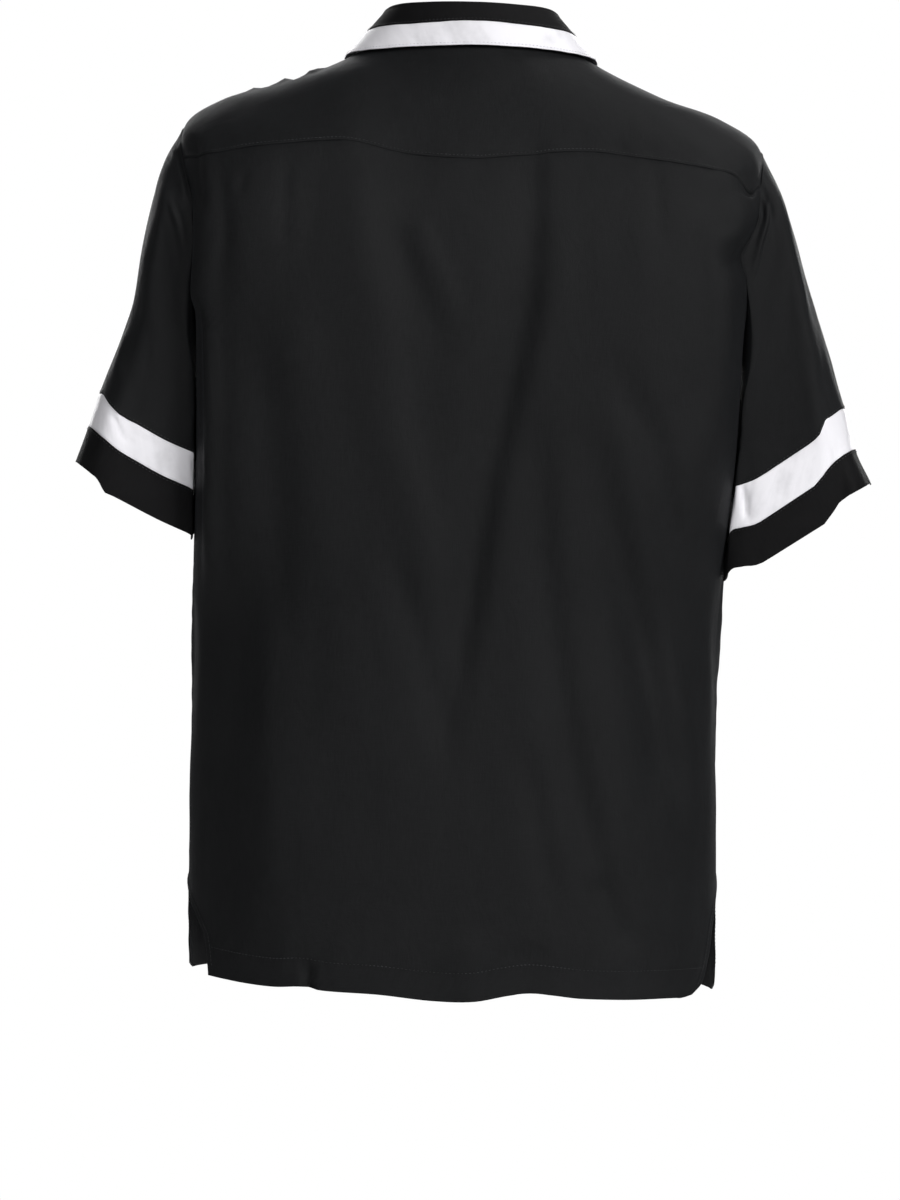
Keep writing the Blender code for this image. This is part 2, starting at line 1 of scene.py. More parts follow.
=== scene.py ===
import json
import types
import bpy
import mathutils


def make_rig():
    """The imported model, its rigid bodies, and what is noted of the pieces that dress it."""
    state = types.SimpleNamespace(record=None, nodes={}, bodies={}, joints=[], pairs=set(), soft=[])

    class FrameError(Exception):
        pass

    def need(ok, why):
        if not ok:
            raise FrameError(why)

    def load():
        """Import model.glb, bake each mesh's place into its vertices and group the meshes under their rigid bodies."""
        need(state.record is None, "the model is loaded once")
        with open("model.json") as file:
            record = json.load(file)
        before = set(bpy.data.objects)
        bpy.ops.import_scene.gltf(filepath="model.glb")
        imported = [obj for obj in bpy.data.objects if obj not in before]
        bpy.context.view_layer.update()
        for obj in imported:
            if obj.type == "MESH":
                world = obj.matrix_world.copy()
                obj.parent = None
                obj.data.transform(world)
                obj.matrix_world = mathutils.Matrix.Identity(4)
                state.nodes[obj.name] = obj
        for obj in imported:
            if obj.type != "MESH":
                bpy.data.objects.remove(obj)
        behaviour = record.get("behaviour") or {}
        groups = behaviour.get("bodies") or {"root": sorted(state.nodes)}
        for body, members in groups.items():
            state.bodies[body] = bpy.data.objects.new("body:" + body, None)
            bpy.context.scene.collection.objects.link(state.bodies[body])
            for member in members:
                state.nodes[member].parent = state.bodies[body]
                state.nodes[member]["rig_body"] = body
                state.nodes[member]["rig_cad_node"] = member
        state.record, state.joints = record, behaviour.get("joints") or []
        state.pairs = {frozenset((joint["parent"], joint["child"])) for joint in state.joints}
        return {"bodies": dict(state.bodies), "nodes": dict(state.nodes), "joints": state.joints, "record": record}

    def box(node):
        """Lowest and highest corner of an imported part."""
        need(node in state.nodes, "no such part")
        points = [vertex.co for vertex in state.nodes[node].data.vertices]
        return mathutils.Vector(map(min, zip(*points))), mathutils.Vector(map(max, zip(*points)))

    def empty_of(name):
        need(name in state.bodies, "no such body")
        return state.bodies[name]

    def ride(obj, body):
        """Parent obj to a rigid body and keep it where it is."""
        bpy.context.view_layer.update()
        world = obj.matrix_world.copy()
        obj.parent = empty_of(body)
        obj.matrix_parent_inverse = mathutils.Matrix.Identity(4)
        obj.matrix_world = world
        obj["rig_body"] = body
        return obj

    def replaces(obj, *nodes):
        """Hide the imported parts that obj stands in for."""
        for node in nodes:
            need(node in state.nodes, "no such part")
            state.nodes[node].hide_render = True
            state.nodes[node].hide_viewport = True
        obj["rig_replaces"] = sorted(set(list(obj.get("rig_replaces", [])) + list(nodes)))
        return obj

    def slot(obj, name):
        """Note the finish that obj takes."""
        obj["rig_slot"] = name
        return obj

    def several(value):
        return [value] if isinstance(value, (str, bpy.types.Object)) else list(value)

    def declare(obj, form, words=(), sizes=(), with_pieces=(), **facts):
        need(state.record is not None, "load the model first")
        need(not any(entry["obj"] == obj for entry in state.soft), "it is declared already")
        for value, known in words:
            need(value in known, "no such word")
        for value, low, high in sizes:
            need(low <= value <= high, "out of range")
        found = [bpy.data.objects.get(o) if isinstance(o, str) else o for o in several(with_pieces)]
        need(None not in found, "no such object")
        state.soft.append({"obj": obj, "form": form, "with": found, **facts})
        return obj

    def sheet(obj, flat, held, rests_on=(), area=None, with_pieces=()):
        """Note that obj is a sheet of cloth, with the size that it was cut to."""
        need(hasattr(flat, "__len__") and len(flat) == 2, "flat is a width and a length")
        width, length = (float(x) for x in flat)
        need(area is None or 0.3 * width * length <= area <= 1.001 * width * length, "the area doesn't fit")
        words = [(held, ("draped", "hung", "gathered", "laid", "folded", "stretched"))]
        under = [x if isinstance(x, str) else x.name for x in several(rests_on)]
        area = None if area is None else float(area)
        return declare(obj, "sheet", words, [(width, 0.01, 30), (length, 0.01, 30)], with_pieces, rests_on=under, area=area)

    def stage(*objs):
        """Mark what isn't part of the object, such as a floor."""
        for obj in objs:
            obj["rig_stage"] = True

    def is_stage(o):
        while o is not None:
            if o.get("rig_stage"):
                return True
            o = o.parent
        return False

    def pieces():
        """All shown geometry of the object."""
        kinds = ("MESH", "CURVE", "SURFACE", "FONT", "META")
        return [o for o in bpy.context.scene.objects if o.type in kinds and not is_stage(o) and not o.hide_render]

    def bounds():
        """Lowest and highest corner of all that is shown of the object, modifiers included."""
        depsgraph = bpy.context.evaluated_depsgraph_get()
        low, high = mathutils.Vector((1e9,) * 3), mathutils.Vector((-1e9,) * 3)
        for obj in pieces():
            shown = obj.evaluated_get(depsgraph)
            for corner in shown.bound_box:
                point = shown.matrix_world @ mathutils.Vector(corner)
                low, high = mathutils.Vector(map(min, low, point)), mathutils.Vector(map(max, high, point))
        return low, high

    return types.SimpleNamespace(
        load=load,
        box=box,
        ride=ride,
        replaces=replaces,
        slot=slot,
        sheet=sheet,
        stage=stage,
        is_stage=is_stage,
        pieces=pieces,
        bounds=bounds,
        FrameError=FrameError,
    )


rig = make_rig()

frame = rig.load()

import json
import math

import bmesh
import bpy
import numpy as np
from bpy.props import FloatProperty, FloatVectorProperty, PointerProperty
from mathutils import Matrix, Vector, noise
from mathutils.bvhtree import BVHTree

bl_info = {
    "name": "Waiter Shirt",
    "version": (1, 0, 0),
    "blender": (4, 5, 0),
    "location": "3D View > Sidebar > Shirt",
    "description": "Makes the cloth, trim, buttons and stitching of a short-sleeved waiter shirt",
    "category": "Object",
}

CAD_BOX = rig.bounds()
SIZE_FILE = "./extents.json"
MM = 0.001

# ---------------------------------------------------------------- shape of the shirt
# The shirt faces -Y. Sizes here are in millimetres. A point of the body is named by an angle and a level.
# The angle is 0 at the middle of the back, 90 at the wearer's left side and 180 at the middle of the
# front. The level counts the rows of BODY, from 0 at the hem to NECK at the neck seam.
BODY_COLUMNS = (
    "back_z", "left_z", "right_z", "front_z", "half", "back", "front", "side_y",
    "back_square", "front_square", "shift",
)
BODY = (
    (-745, -731, -749, -738, 204, 114, 132, 12, 2.5, 2.4, 15),  # 0 hem
    (-645, -645, -645, -645, 204, 112, 134, 12, 2.5, 2.4, 15),  # 1 seat
    (-540, -540, -540, -540, 204, 108, 136, 12, 2.5, 2.4, 14),  # 2 hip
    (-440, -440, -440, -440, 206, 106, 138, 12, 2.5, 2.4, 10.5),  # 3 waist
    (-335, -335, -335, -335, 208, 108, 141, 12, 4.4, 2.4, 4),  # 4 ribs
    (-248, -236, -252, -250, 210, 112, 142, 11, 5.6, 2.4, 1.5),  # 5 armpit
    (-198, -183, -200, -205, 213, 113, 136, 9, 5.8, 2.4, 0),  # 6 shoulder blade
    (-150, -128, -146, -164, 219, 111, 125, 6, 5.2, 2.4, 0),  # 7 upper back
    (-111, -80, -98, -134, 223, 103, 112, 4, 3.4, 2.4, 0),  # 8 shoulder point
    (-80, -57, -73, -116, 195, 93, 99, 2, 2.5, 2.3, 0),  # 9 outer shoulder slope
    (-54, -45, -58, -104, 154, 82, 87, 1, 2.3, 2.2, 0),  # 10 middle of the shoulder slope
    (-31, -30, -36, -93, 109, 70, 77, 0, 2.1, 2.1, 0),  # 11 inner shoulder slope
    (-8, -8, -10, -82, 69, 58, 67, 0, 2.0, 2.0, 0),  # 12 neck seam
)
NECK = len(BODY) - 1
SHOULDER = 8
ARMPIT = 5

# Armhole: degrees that it reaches backwards and forwards of the side
ARMHOLE_BACK_REACH = 34
ARMHOLE_FRONT_REACH = 31
DEGREES_PER_LEVEL = 16  # about as long on the cloth beside the armhole
# Angles of the shoulder seam, and of the neck seam over the point where the back seam meets the armhole
SHOULDER_SEAM_AT_ARM = 106.5
SHOULDER_SEAM_AT_NECK = 114
YOKE_BACK_AT_NECK = 72

# Height of the yoke's back seam at each angle, from the wearer's right to the left
YOKE_SEAM = (
    (-70, -137), (-58, -128), (-42, -119), (-30, -111), (-22, -106.5), (-10, -109), (0, -112), (12, -108),
    (24, -99), (40, -102), (50, -106.5), (58, -106.5), (70, -107),
)
# Side vents: the level of their top, then the level of each place on an edge and its degrees in from the
# side, for the back's left edge (1), its right edge (-1) and the edges of both fronts (0)
VENT_TOP = 0.88
VENT_EDGE = {
    1: ((0, 30.5), (0.05, 30), (0.2, 28.6), (0.37, 26), (0.52, 20), (0.64, 14), (0.76, 7), (VENT_TOP, 0)),
    -1: (
        (0, 36.5), (0.02, 32.5), (0.09, 27), (0.22, 23), (0.36, 20.5), (0.58, 17), (0.75, 10), (VENT_TOP, 0),
    ),
    0: ((0, 9), (0.05, 4), (0.2, 1.5), (0.4, 0.5), (0.55, 0), (VENT_TOP, 0)),
}
FRONT_LAP = 15  # how far each front reaches past the middle
FRONT_OUT = 1.2  # how far the left front lies out of the body's surface there, and the right one inside it
FRONT_LAP_OUT = (FRONT_LAP, 31)  # distances from the middle over which both come back to that surface

# Sleeves: a row for each section, from below the armhole to the hem. top is the outer side of a section and
# under the one beside the body.
SLEEVE_COLUMNS = ("top_x", "top_z", "under_x", "under_z", "depth", "middle_y", "forward", "sag")
LEFT_SLEEVE = (
    (241, -112, 213, -256, 77, 3, 4, 0),
    (254, -165, 207, -282, 76, 4, 10, 2),
    (264, -218, 204, -310, 74, 4, 13, 4),
    (289, -283, 204, -334, 73, 3, 15, 6),
    (298, -306, 206, -359, 72, 3, 16, 8),
    (308, -335, 207, -390, 71, 3, 17, 11),
)
RIGHT_SLEEVE = (
    (241, -131, 210, -273, 77, 3, 5, 0),
    (256, -180, 202, -303, 76, 4, 11, 3),
    (270, -228, 197, -333, 74, 4, 14, 7),
    (290, -295, 193, -359, 73, 3, 16, 13),
    (298, -324, 193, -385, 72, 3, 17, 18),
    (311, -351, 191, -412, 71, 3, 18, 23),
)
BAND_SECTION = 4
CUFF_SECTION = 5
HEM_SECTION = 6
BAND_WIDTH = 27
SLEEVE_REST = 2  # gap between the body's side and a sleeve that rests on it
SLEEVE_SQUARE = {1: (2.2, 7), -1: (2.2, 11)}  # squareness of each sleeve's section, outside and by the body
FRONT_SQUARE = 0.1  # share of the squareness by the body that the section has towards the front
SEAM_OUT = 0.95  # how far a sleeve's first ring lies out of the body's cloth
HEAD_TUCK, HEAD_OUT = 0.9, 0.85  # degrees that its head runs on under the body's edge, and how far out

# Collar stand: angle, then the height of its foot and of its top over the neck seam
STAND = (
    (0, 1.0, 20), (30, 1.1, 20.3), (55, 1.2, 21), (72, 1.4, 19.8),
    (90, 1.7, 15.3), (130, 2.0, 9), (160, 2.8, 8.0), (180, 2.9, 7.5),
)
STAND_TILT = 0.8  # how much higher it is at the left of the back, and lower at the right
STAND_LEAN = 0.15  # inwards, for each part of its height
STAND_STEPS = 7
FOLD_RADIUS = 1.7
FOLD_TURNS = (22, 45, 67, 90, 113, 135, 158)  # degrees round the fold at its points
COLLAR_END = 178  # angle at the middle of the front
# Collar's edge: angle at the fold, then the angle and level that it falls to and how far it stands off there
COLLAR_EDGE = (
    (0, 0, 11.35, 4.8),
    (45, 45, 11.3, 3.8),
    (90, 91, 11.3, 3.3),
    (125, 124, 11.0, 3.7),
    (155, 149, 10.2, 4.3),
    (178, 165.5, 8.2, 4.0),
)
# Width of the collar's white band at each angle
COLLAR_BAND = ((0, 20.3), (30, 21), (60, 24), (90, 24), (130, 22), (180, 22))
COLLAR_STEPS = 130  # on each side of the middle
COLLAR_ROWS, COLLAR_BAND_ROWS = 12, 20  # of the fall above the band, and of the band
FALL_STEPS = 60  # for measuring the way down the fall
TUCK = 1.6  # a piece runs this far under the next one at a seam

# Buttons: heights down the front, then the profile from the middle of the back over the rim to the middle of
# the face, as shares of the radius and of half the thickness
BUTTON_HEIGHTS = (-103, -192, -284, -376, -468, -560)
BUTTON_PROFILE = (
    (0, -1), (0.78, -1), (0.93, -0.75), (1.0, -0.1), (0.99, 0.45), (0.93, 0.9), (0.86, 1), (0.79, 0.88),
    (0.7, 0.42), (0.62, 0.3), (0, 0.26),
)
BUTTON_SEGMENTS, HOLE_SEGMENTS = 40, 14
BUTTON_EDGE = math.radians(42)  # turns sharper than this show as an edge
# Strands of thread between two of its holes, in metres
STRAND_RADIUS = 0.00024
STRAND_SPACING = 0.00022
STRAND_ARCH = 0.0004
STRAND_STEPS, STRAND_SEGMENTS = 8, 8
STRAND_OVERRUN = 1.3  # length of each short piece of a strand over its step, so that the pieces run together
BUTTONHOLE_HALF = 1.3  # half the width over its stitches
BUTTONHOLE_STITCH = {"Stitch Length": 0.0018, "Gap": -0.0013, "Thread Width": 0.00042, "Turn": math.pi / 2}

# Creases and folds: the face they lie on, how far out the cloth is moved, the width at the top and at the
# end, and the places that the fold runs through. Those are (x, z) on the back and front, (y, z) on the
# left and right, and (x, y) on top.
BODY_CREASES = (
    # back
    ("back", 8, 44, 42, ((210, -70), (209, -200), (207, -350), (203, -470))),
    ("back", 3.2, 26, 32, ((197, -92), (198, -180), (199, -280), (199, -380), (196, -470))),
    ("back", -7.5, 46, 36, (
        (-47, -122), (-46, -182), (-39, -235), (-22, -310), (-11, -362), (0, -431), (12, -520), (21, -595),
    )),
    ("back", -2.2, 30, 30, ((-47, -88), (-48, -144), (-45, -204))),
    ("back", -4.8, 32, 38, (
        (-46, -272), (-52, -333), (-56, -408), (-62, -466), (-70, -523), (-82, -593), (-98, -650),
        (-116, -715),
    )),
    ("back", -7.0, 40, 50, (
        (-90, -294), (-100, -350), (-115, -420), (-133, -489), (-144, -547), (-155, -599), (-169, -670),
    )),
    ("back", -3.4, 30, 30, ((-109, -249), (-122, -291), (-139, -327), (-153, -385), (-164, -437))),
    ("back", -3.5, 46, 46, ((-169, -144), (-173, -242), (-176, -332))),
    ("back", -1.6, 12, 14, ((138, -99), (139, -144), (139, -191))),
    ("back", -6.5, 84, 76, ((172, -152), (166, -242), (157, -309), (153, -369), (151, -430), (149, -520))),
    ("back", 4.5, 60, 50, (
        (90, -84), (83, -137), (77, -189), (66, -246), (59, -309), (44, -369), (27, -430), (15, -482),
    )),
    ("back", -1.6, 30, 34, ((66, -148), (48, -191), (31, -229), (9, -294))),
    ("back", 1.8, 28, 28, ((45, -148), (27, -191), (7, -249))),
    ("back", -2.8, 26, 26, ((60, -396), (46, -445), (31, -501), (12, -572))),
    ("back", -9, 74, 96, ((177, -385), (182, -520), (188, -632), (192, -760))),
    ("back", -3.4, 26, 28, ((-43, -542), (-50, -595), (-57, -639), (-69, -707))),
    ("back", -1.0, 10, 10, ((-140, -113), (-141, -144), (-143, -182))),
    ("back", -1.2, 9, 9, ((170, -120), (175, -141))),
    ("back", 3.2, 100, 110, ((94, -14), (97, -68), (103, -124))),
    ("back", -2.5, 30, 30, ((-93, -647), (-107, -677), (-123, -715))),
    ("back", -1.8, 30, 30, ((-190, -128), (-196, -172))),
    ("back", -4.5, 26, 24, ((214, -84), (210, -118), (207, -160))),
    ("back", -3.6, 17, 15, ((-224, -141), (-217, -167), (-205, -199))),
    ("back", -6.5, 8, 10, ((123.5, -716), (122, -742), (121, -790))),
    ("back", 1.4, 46, 50, ((0, -690), (2, -760))),
    ("back", -1.8, 40, 44, ((-46, -700), (-48, -760))),
    # front
    ("front", -6, 96, 96, ((95, -230), (92, -435), (80, -640))),
    ("front", -6, 100, 100, ((-100, -260), (-96, -515), (-88, -770))),
    ("front", 4, 72, 72, ((52, -400), (48, -585), (46, -770))),
    ("front", -2.4, 30, 40, ((150, -190), (120, -300), (104, -430), (98, -560))),
    ("front", -2.2, 26, 40, ((-158, -200), (-128, -310), (-112, -440), (-104, -600))),
    ("front", 2.2, 40, 46, ((-60, -300), (-54, -470), (-62, -680))),
    ("front", -1.8, 26, 36, ((60, -480), (66, -600), (58, -760))),
    ("front", -1.2, 16, 22, ((44, -150), (60, -210), (70, -300))),
    ("front", -1.3, 18, 24, ((-48, -160), (-62, -230), (-66, -330))),
    ("front", -1.6, 24, 28, ((140, -560), (146, -660), (140, -770))),
    ("front", 1.6, 30, 36, ((-150, -520), (-142, -640), (-146, -770))),
    # sides
    ("left", -3, 40, 50, ((30, -280), (24, -420), (30, -600))),
    ("left", 2.4, 34, 40, ((-24, -300), (-20, -460), (-28, -640))),
    ("right", -3, 40, 50, ((28, -300), (34, -440), (22, -620))),
    ("right", 2.4, 34, 40, ((-26, -300), (-18, -470), (-30, -660))),
    # shoulders
    ("top", 2.6, 14, 16, ((122, 40), (118, -12))),
    ("top", 2.2, 12, 14, ((146, 36), (141, -10))),
    ("top", -2.0, 13, 15, ((134, 40), (130, -10))),
    ("top", 2.0, 14, 16, ((168, 30), (163, -14))),
)
SLEEVE_CREASES = (
    # left sleeve
    ("back", 2.2, 9, 11, ((224, -92), (217, -118), (207, -152))),
    ("back", -2.6, 22, 26, ((232, -110), (225, -140), (215, -180))),
    ("back", 1.6, 11, 13, ((219, -145), (213, -165), (207, -192))),
    ("back", -1.8, 26, 30, ((240, -130), (236, -170), (232, -220))),
    ("back", 2.0, 16, 20, ((265, -232), (272, -282))),
    ("back", -2.2, 22, 30, ((250, -210), (248, -270), (262, -340))),
    ("back", 1.5, 22, 30, ((232, -240), (236, -300), (240, -360))),
    ("back", -1.3, 6, 8, ((274, -300), (264, -326))),
    ("back", 1.1, 6, 8, ((258, -306), (246, -332))),
    ("back", -1.2, 5, 8, ((240, -312), (230, -344))),
    ("back", -1.4, 4, 7, ((214, -330), (210, -358))),
    ("front", -2.4, 26, 34, ((236, -130), (232, -200), (240, -300))),
    ("front", 2.2, 26, 36, ((254, -160), (252, -240), (268, -340))),
    ("left", 2.0, 30, 40, ((-20, -170), (-14, -250), (-20, -330))),
    ("left", -2.0, 28, 36, ((18, -150), (22, -230), (26, -320))),
    # right sleeve
    ("back", 1.6, 16, 22, ((-248, -160), (-255, -236), (-261, -270))),
    ("back", 1.8, 16, 20, ((-257, -250), (-263, -300), (-268, -330))),
    ("back", -3.0, 20, 30, ((-268, -250), (-279, -310), (-287, -420))),
    ("back", 1.6, 24, 30, ((-236, -160), (-232, -220), (-226, -300))),
    ("back", -1.5, 18, 26, ((-240, -300), (-238, -350), (-236, -400))),
    ("back", -2.6, 5, 7, ((-207, -352), (-212, -386))),
    ("back", 1.2, 6, 7, ((-218, -350), (-220, -384))),
    ("back", -1.3, 4, 7, ((-229, -348), (-234, -376))),
    ("back", -1.0, 5, 7, ((-243, -340), (-246, -366))),
    ("back", -1.2, 5, 8, ((-272, -322), (-277, -348))),
    ("front", -2.4, 26, 34, ((-236, -150), (-230, -220), (-236, -320))),
    ("front", 2.2, 26, 36, ((-256, -170), (-252, -250), (-266, -350))),
    ("right", 2.0, 30, 40, ((-22, -180), (-14, -260), (-22, -350))),
    ("right", -2.0, 28, 36, ((16, -170), (22, -240), (18, -330))),
)
ARMHOLE_CREASES = (  # those that run up to a sleeve's seam
    ("back", 2.4, 7, 9, ((232, -85), (224, -112), (214, -147))),
    ("back", 2.2, 6, 8, ((231, -136), (225, -153), (217, -174))),
    ("back", 2.5, 6, 6, ((-226, -137), (-224.5, -158), (-218, -177), (-212, -188))),
)
CREASE_STEPS = 8  # between two places of a crease
CREASE_LEAN = 0.3  # how much steeper the -X side of a crease that runs down is
CREASE_HOLLOW, CREASE_DECAY = 1.1, 1.6  # of its section, a ridge with a shallow hollow at each side
CREASE_FADE = 0.3  # share of its length over which it begins, and over which it ends
FACES = {  # the two axes of a crease's places, the axis that the cloth faces, and which way along it
    "back": (0, 2, 1, 1),
    "front": (0, 2, 1, -1),
    "left": (1, 2, 0, 1),
    "right": (1, 2, 0, -1),
    "top": (0, 1, 2, 1),
}
# Slight uneven folds: height, width, length and seed, and for the body the share of them left at its top
BODY_DRAPE = ((1.9, 48, 230, 3.0, 0.25), (0.7, 17, 60, 11.0, 0.35))
SLEEVE_DRAPE = ((1.5, 30, 90, 5.0), (0.6, 12, 36, 15.0))
# Where a shape of the cloth begins, and the distance over which it comes in or dies out
CALM = (6.5, 3)  # levels over which the body's uneven folds grow less
PLACKET_CALM = (FRONT_LAP, 30)  # distances from the middle over which the placket's flatness dies out
PRESSED_LOW, PRESSED_HIGH = (2.6, 0.4), (5.0, 0.5)  # levels between which a sleeve rests on the body's side
BODY_SIDE, SLEEVE_SIDE = (0.7, 0.2), (0.6, 0.3)  # how squarely the two face each other there
PULLS_ACROSS = (165, 35)  # distances from the middle over which the pulls in the armholes come in
HEM_WAVE_UP = (0, 0.9)  # levels over which the hem's rise dies out
LAP_UP = (VENT_TOP, 0.1)  # levels over which the side seam's lap comes in
SLEEVE_FOLDS_DOWN, SEAM_FOLDS_DOWN = (0, 0.9), (0, 0.25)  # sections over which a sleeve's creases come in
SLEEVE_PRESS = 0.6  # how deep the body's cloth stays under a sleeve that rests on it
BACK_FACING = 0.3  # how squarely the cloth faces the back, for all of a shape of the back
FACING_LEAST, FACING_FULL = 0.02, 0.5  # how squarely the cloth faces a crease, for any and for all of it
# The yoke's pucker beside the right sleeve: its place across, height, drop and reach
YOKE_CORNER = (-208.3, -128, 15, 6.5)
# Side, height, how far out and reach of the pulls in the back of the armholes
ARMHOLE_PULLS = ((1, -163, -5, 32), (-1, -153, 4.5, 20), (-1, -187, -5, 14))
# Rise of the back hem at each place across it
HEM_WAVE = (
    (-200, 0), (-156, 1.0), (-116, 0.6), (-81, 1.6), (-58, 4.4), (-44, 5.6), (-30, 4.2), (-2, -0.6),
    (27, -0.4), (70, 3.4), (112, 4.0), (127, 5.8), (149, 3.6), (170, 3.4), (200, 4.0),
)
# Turn (90 is the back and 180 the outside), then the rise of the band's top, the band's foot and the hem
SLEEVE_WAVE = {
    1: (
        (0, 0, 0, 0), (40, 0, 0, -0.3), (60, 2.4, 2.4, 1.4), (75, 1.5, 1.6, 0.9), (88, -0.5, 0, -0.2),
        (96, -1.9, 0, -0.8), (101, -1.9, 0.7, -1.3), (106, -1.9, 1.6, 3.5), (111, -1, 2.3, 6.1),
        (117, 0.1, 2.9, 6.5), (124, 1.3, 3.2, 6.9), (132, 3.1, 3.4, 6.9), (141, 4.4, 3.3, 6.4),
        (152, 2.8, 1.6, 4.7), (166, 1.2, -1.2, 1.6), (180, -0.9, -3.4, -2), (200, -1.5, -2.5, -3),
        (230, 1, 1, 1), (260, -1.5, -2, -2), (310, 1.5, 2, 2), (360, 0, 0, 0),
    ),
    -1: (
        (0, 0, 0, 0), (40, 2, 1.5, 2), (60, 8.4, 7.1, 8.8), (75, 6.5, 5.1, 7), (88, 3.4, 2.3, 3.2),
        (96, 5.3, 11.7, 17.9), (101, 12.8, 13.8, 19.6), (106, 12.9, 14.7, 20.4), (111, 13.3, 14.7, 20.2),
        (117, 12.7, 14.4, 19.9), (124, 12.1, 14.2, 19.1), (132, 11.4, 13.4, 17.7), (141, 10.8, 11.6, 15.3),
        (152, 7.6, 7.8, 11.2), (166, 3.6, 1.6, 3.6), (180, -0.9, -3.8, -3.5), (200, -2.8, -4.7, -4.7),
        (230, -1, -1.5, -1.5), (260, 2, 3, 3), (310, -1.5, -2, -2), (360, 0, 0, 0),
    ),
}

# Rows and columns of the cloth. The rows of the back and the fronts lie on these levels up to the armpit.
HEM_LEVELS = (0, 0.006, 0.02, 0.045, 0.07, 0.1, 0.13, 0.16, 0.19, 0.215, 0.235, 0.247, 0.259, 0.272, 0.29)
SIDE_LEVELS = np.concatenate([HEM_LEVELS, np.linspace(0.315, ARMPIT, 146)])
ARM_BACK, ARM_YOKE, ARM_FRONT = 46, 28, 64  # steps of the armhole, along the back, the yoke and the front
BACK_COLUMNS = 132
FRONT_COLUMNS = 76
SHOULDER_COLUMNS = 40  # of the front's columns, those that end at the shoulder seam
YOKE_ROWS = 44
SLEEVE_ROWS, BAND_ROWS, CUFF_ROWS = 66, 26, 24
PANEL_SHARE, SLEEVE_ROW_SHARE = 0.55, 0.5  # how much closer the rows and columns lie at the ends
NEAR_FOOT = 24  # rows that may lie nearer to the foot than their columns are long
FOOT_STEPS = 6  # places on the foot for each of its points, to measure the distance from
PAST_FOOT = 60  # how far past its ends the foot is taken to run on
UNEVEN_SHARE = 0.12  # of a panel's width at each armhole, where its rows keep to the armhole's points
SIDE_LAP = 0.25  # degrees by which the panels run past the side line at their seam
UNDER_LAP = 0.06  # levels by which the back runs up under the yoke
FRONT_UNDER_LAP = 0.6  # degrees by which a front runs under the yoke
HEM_STEP = 1.0  # the cloth goes from doubled to single over this distance
RIPPLE_STRETCH = 3.5  # how many times longer a ripple is across its seam than along it
HALVINGS = 40  # steps of a search that halves its range
ANGLE_STEP, LEVEL_STEP = 0.5, 0.05  # to each side of a point, for the slope of the body there


def smooth(t):
    """0 up to 0, 1 from 1, and smooth between them."""
    t = np.clip(t, 0, 1)
    return t * t * (3 - 2 * t)


def fade(value, start, over):
    """0 up to start, then smoothly to 1 over this distance."""
    return smooth((value - start) / over)


def unit(v):
    """The same directions with a length of 1."""
    return v / np.maximum(np.linalg.norm(v, axis=-1, keepdims=True), 1e-9)


def line(start, end, steps):
    """Evenly spaced values from start to end, with this many steps between them."""
    return np.linspace(start, end, steps + 1)


def curve_through(rows, at):
    """Values of a smooth curve that passes through the rows, which are one step apart."""
    rows = np.asarray(rows, float)
    at = np.asarray(at, float)
    i = np.clip(np.floor(at).astype(int), 0, len(rows) - 2)
    f = (at - i)[(...,) + (None,) * (rows.ndim - 1)]
    slope = np.gradient(rows, axis=0)
    start = rows[i] * (1 + 2 * f) * (1 - f) ** 2 + slope[i] * f * (1 - f) ** 2
    return start + rows[i + 1] * f * f * (3 - 2 * f) - slope[i + 1] * f * f * (1 - f)


def read_table(table, at):
    """Columns of a table, after its first, at these values of the first column."""
    table = np.asarray(table, float)
    return curve_through(table[:, 1:], np.interp(at, table[:, 0], np.arange(len(table))))


def body_row(level):
    """The sizes of the body at these levels, by name."""
    return dict(zip(BODY_COLUMNS, np.moveaxis(curve_through(BODY, level), -1, 0)))


def plain_body(angle, level):
    """Points of the body surface without its folds."""
    angle, level = np.broadcast_arrays(np.asarray(angle, float), np.asarray(level, float))
    row = body_row(level)
    s, c = np.sin(np.radians(angle)), np.cos(np.radians(angle))
    square = np.where(c > 0, row["back_square"], row["front_square"])
    reach = (np.abs(s) ** square + np.abs(c) ** square) ** (-1 / square)
    side_z = np.where(s > 0, row["left_z"], row["right_z"])
    middle_z = np.where(c > 0, row["back_z"], row["front_z"])
    x = row["half"] * s * reach + row["shift"]
    y = np.where(c > 0, row["back"], row["front"]) * c * reach + row["side_y"]
    return np.stack([x, y, side_z * s * s + middle_z * c * c], -1)


def body_normal(angle, level):
    """Outward unit vectors of the plain body surface."""
    along = plain_body(angle + ANGLE_STEP, level) - plain_body(angle - ANGLE_STEP, level)
    low, high = np.maximum(level - LEVEL_STEP, 0), np.minimum(level + LEVEL_STEP, NECK)
    return unit(np.cross(plain_body(angle, high) - plain_body(angle, low), along))


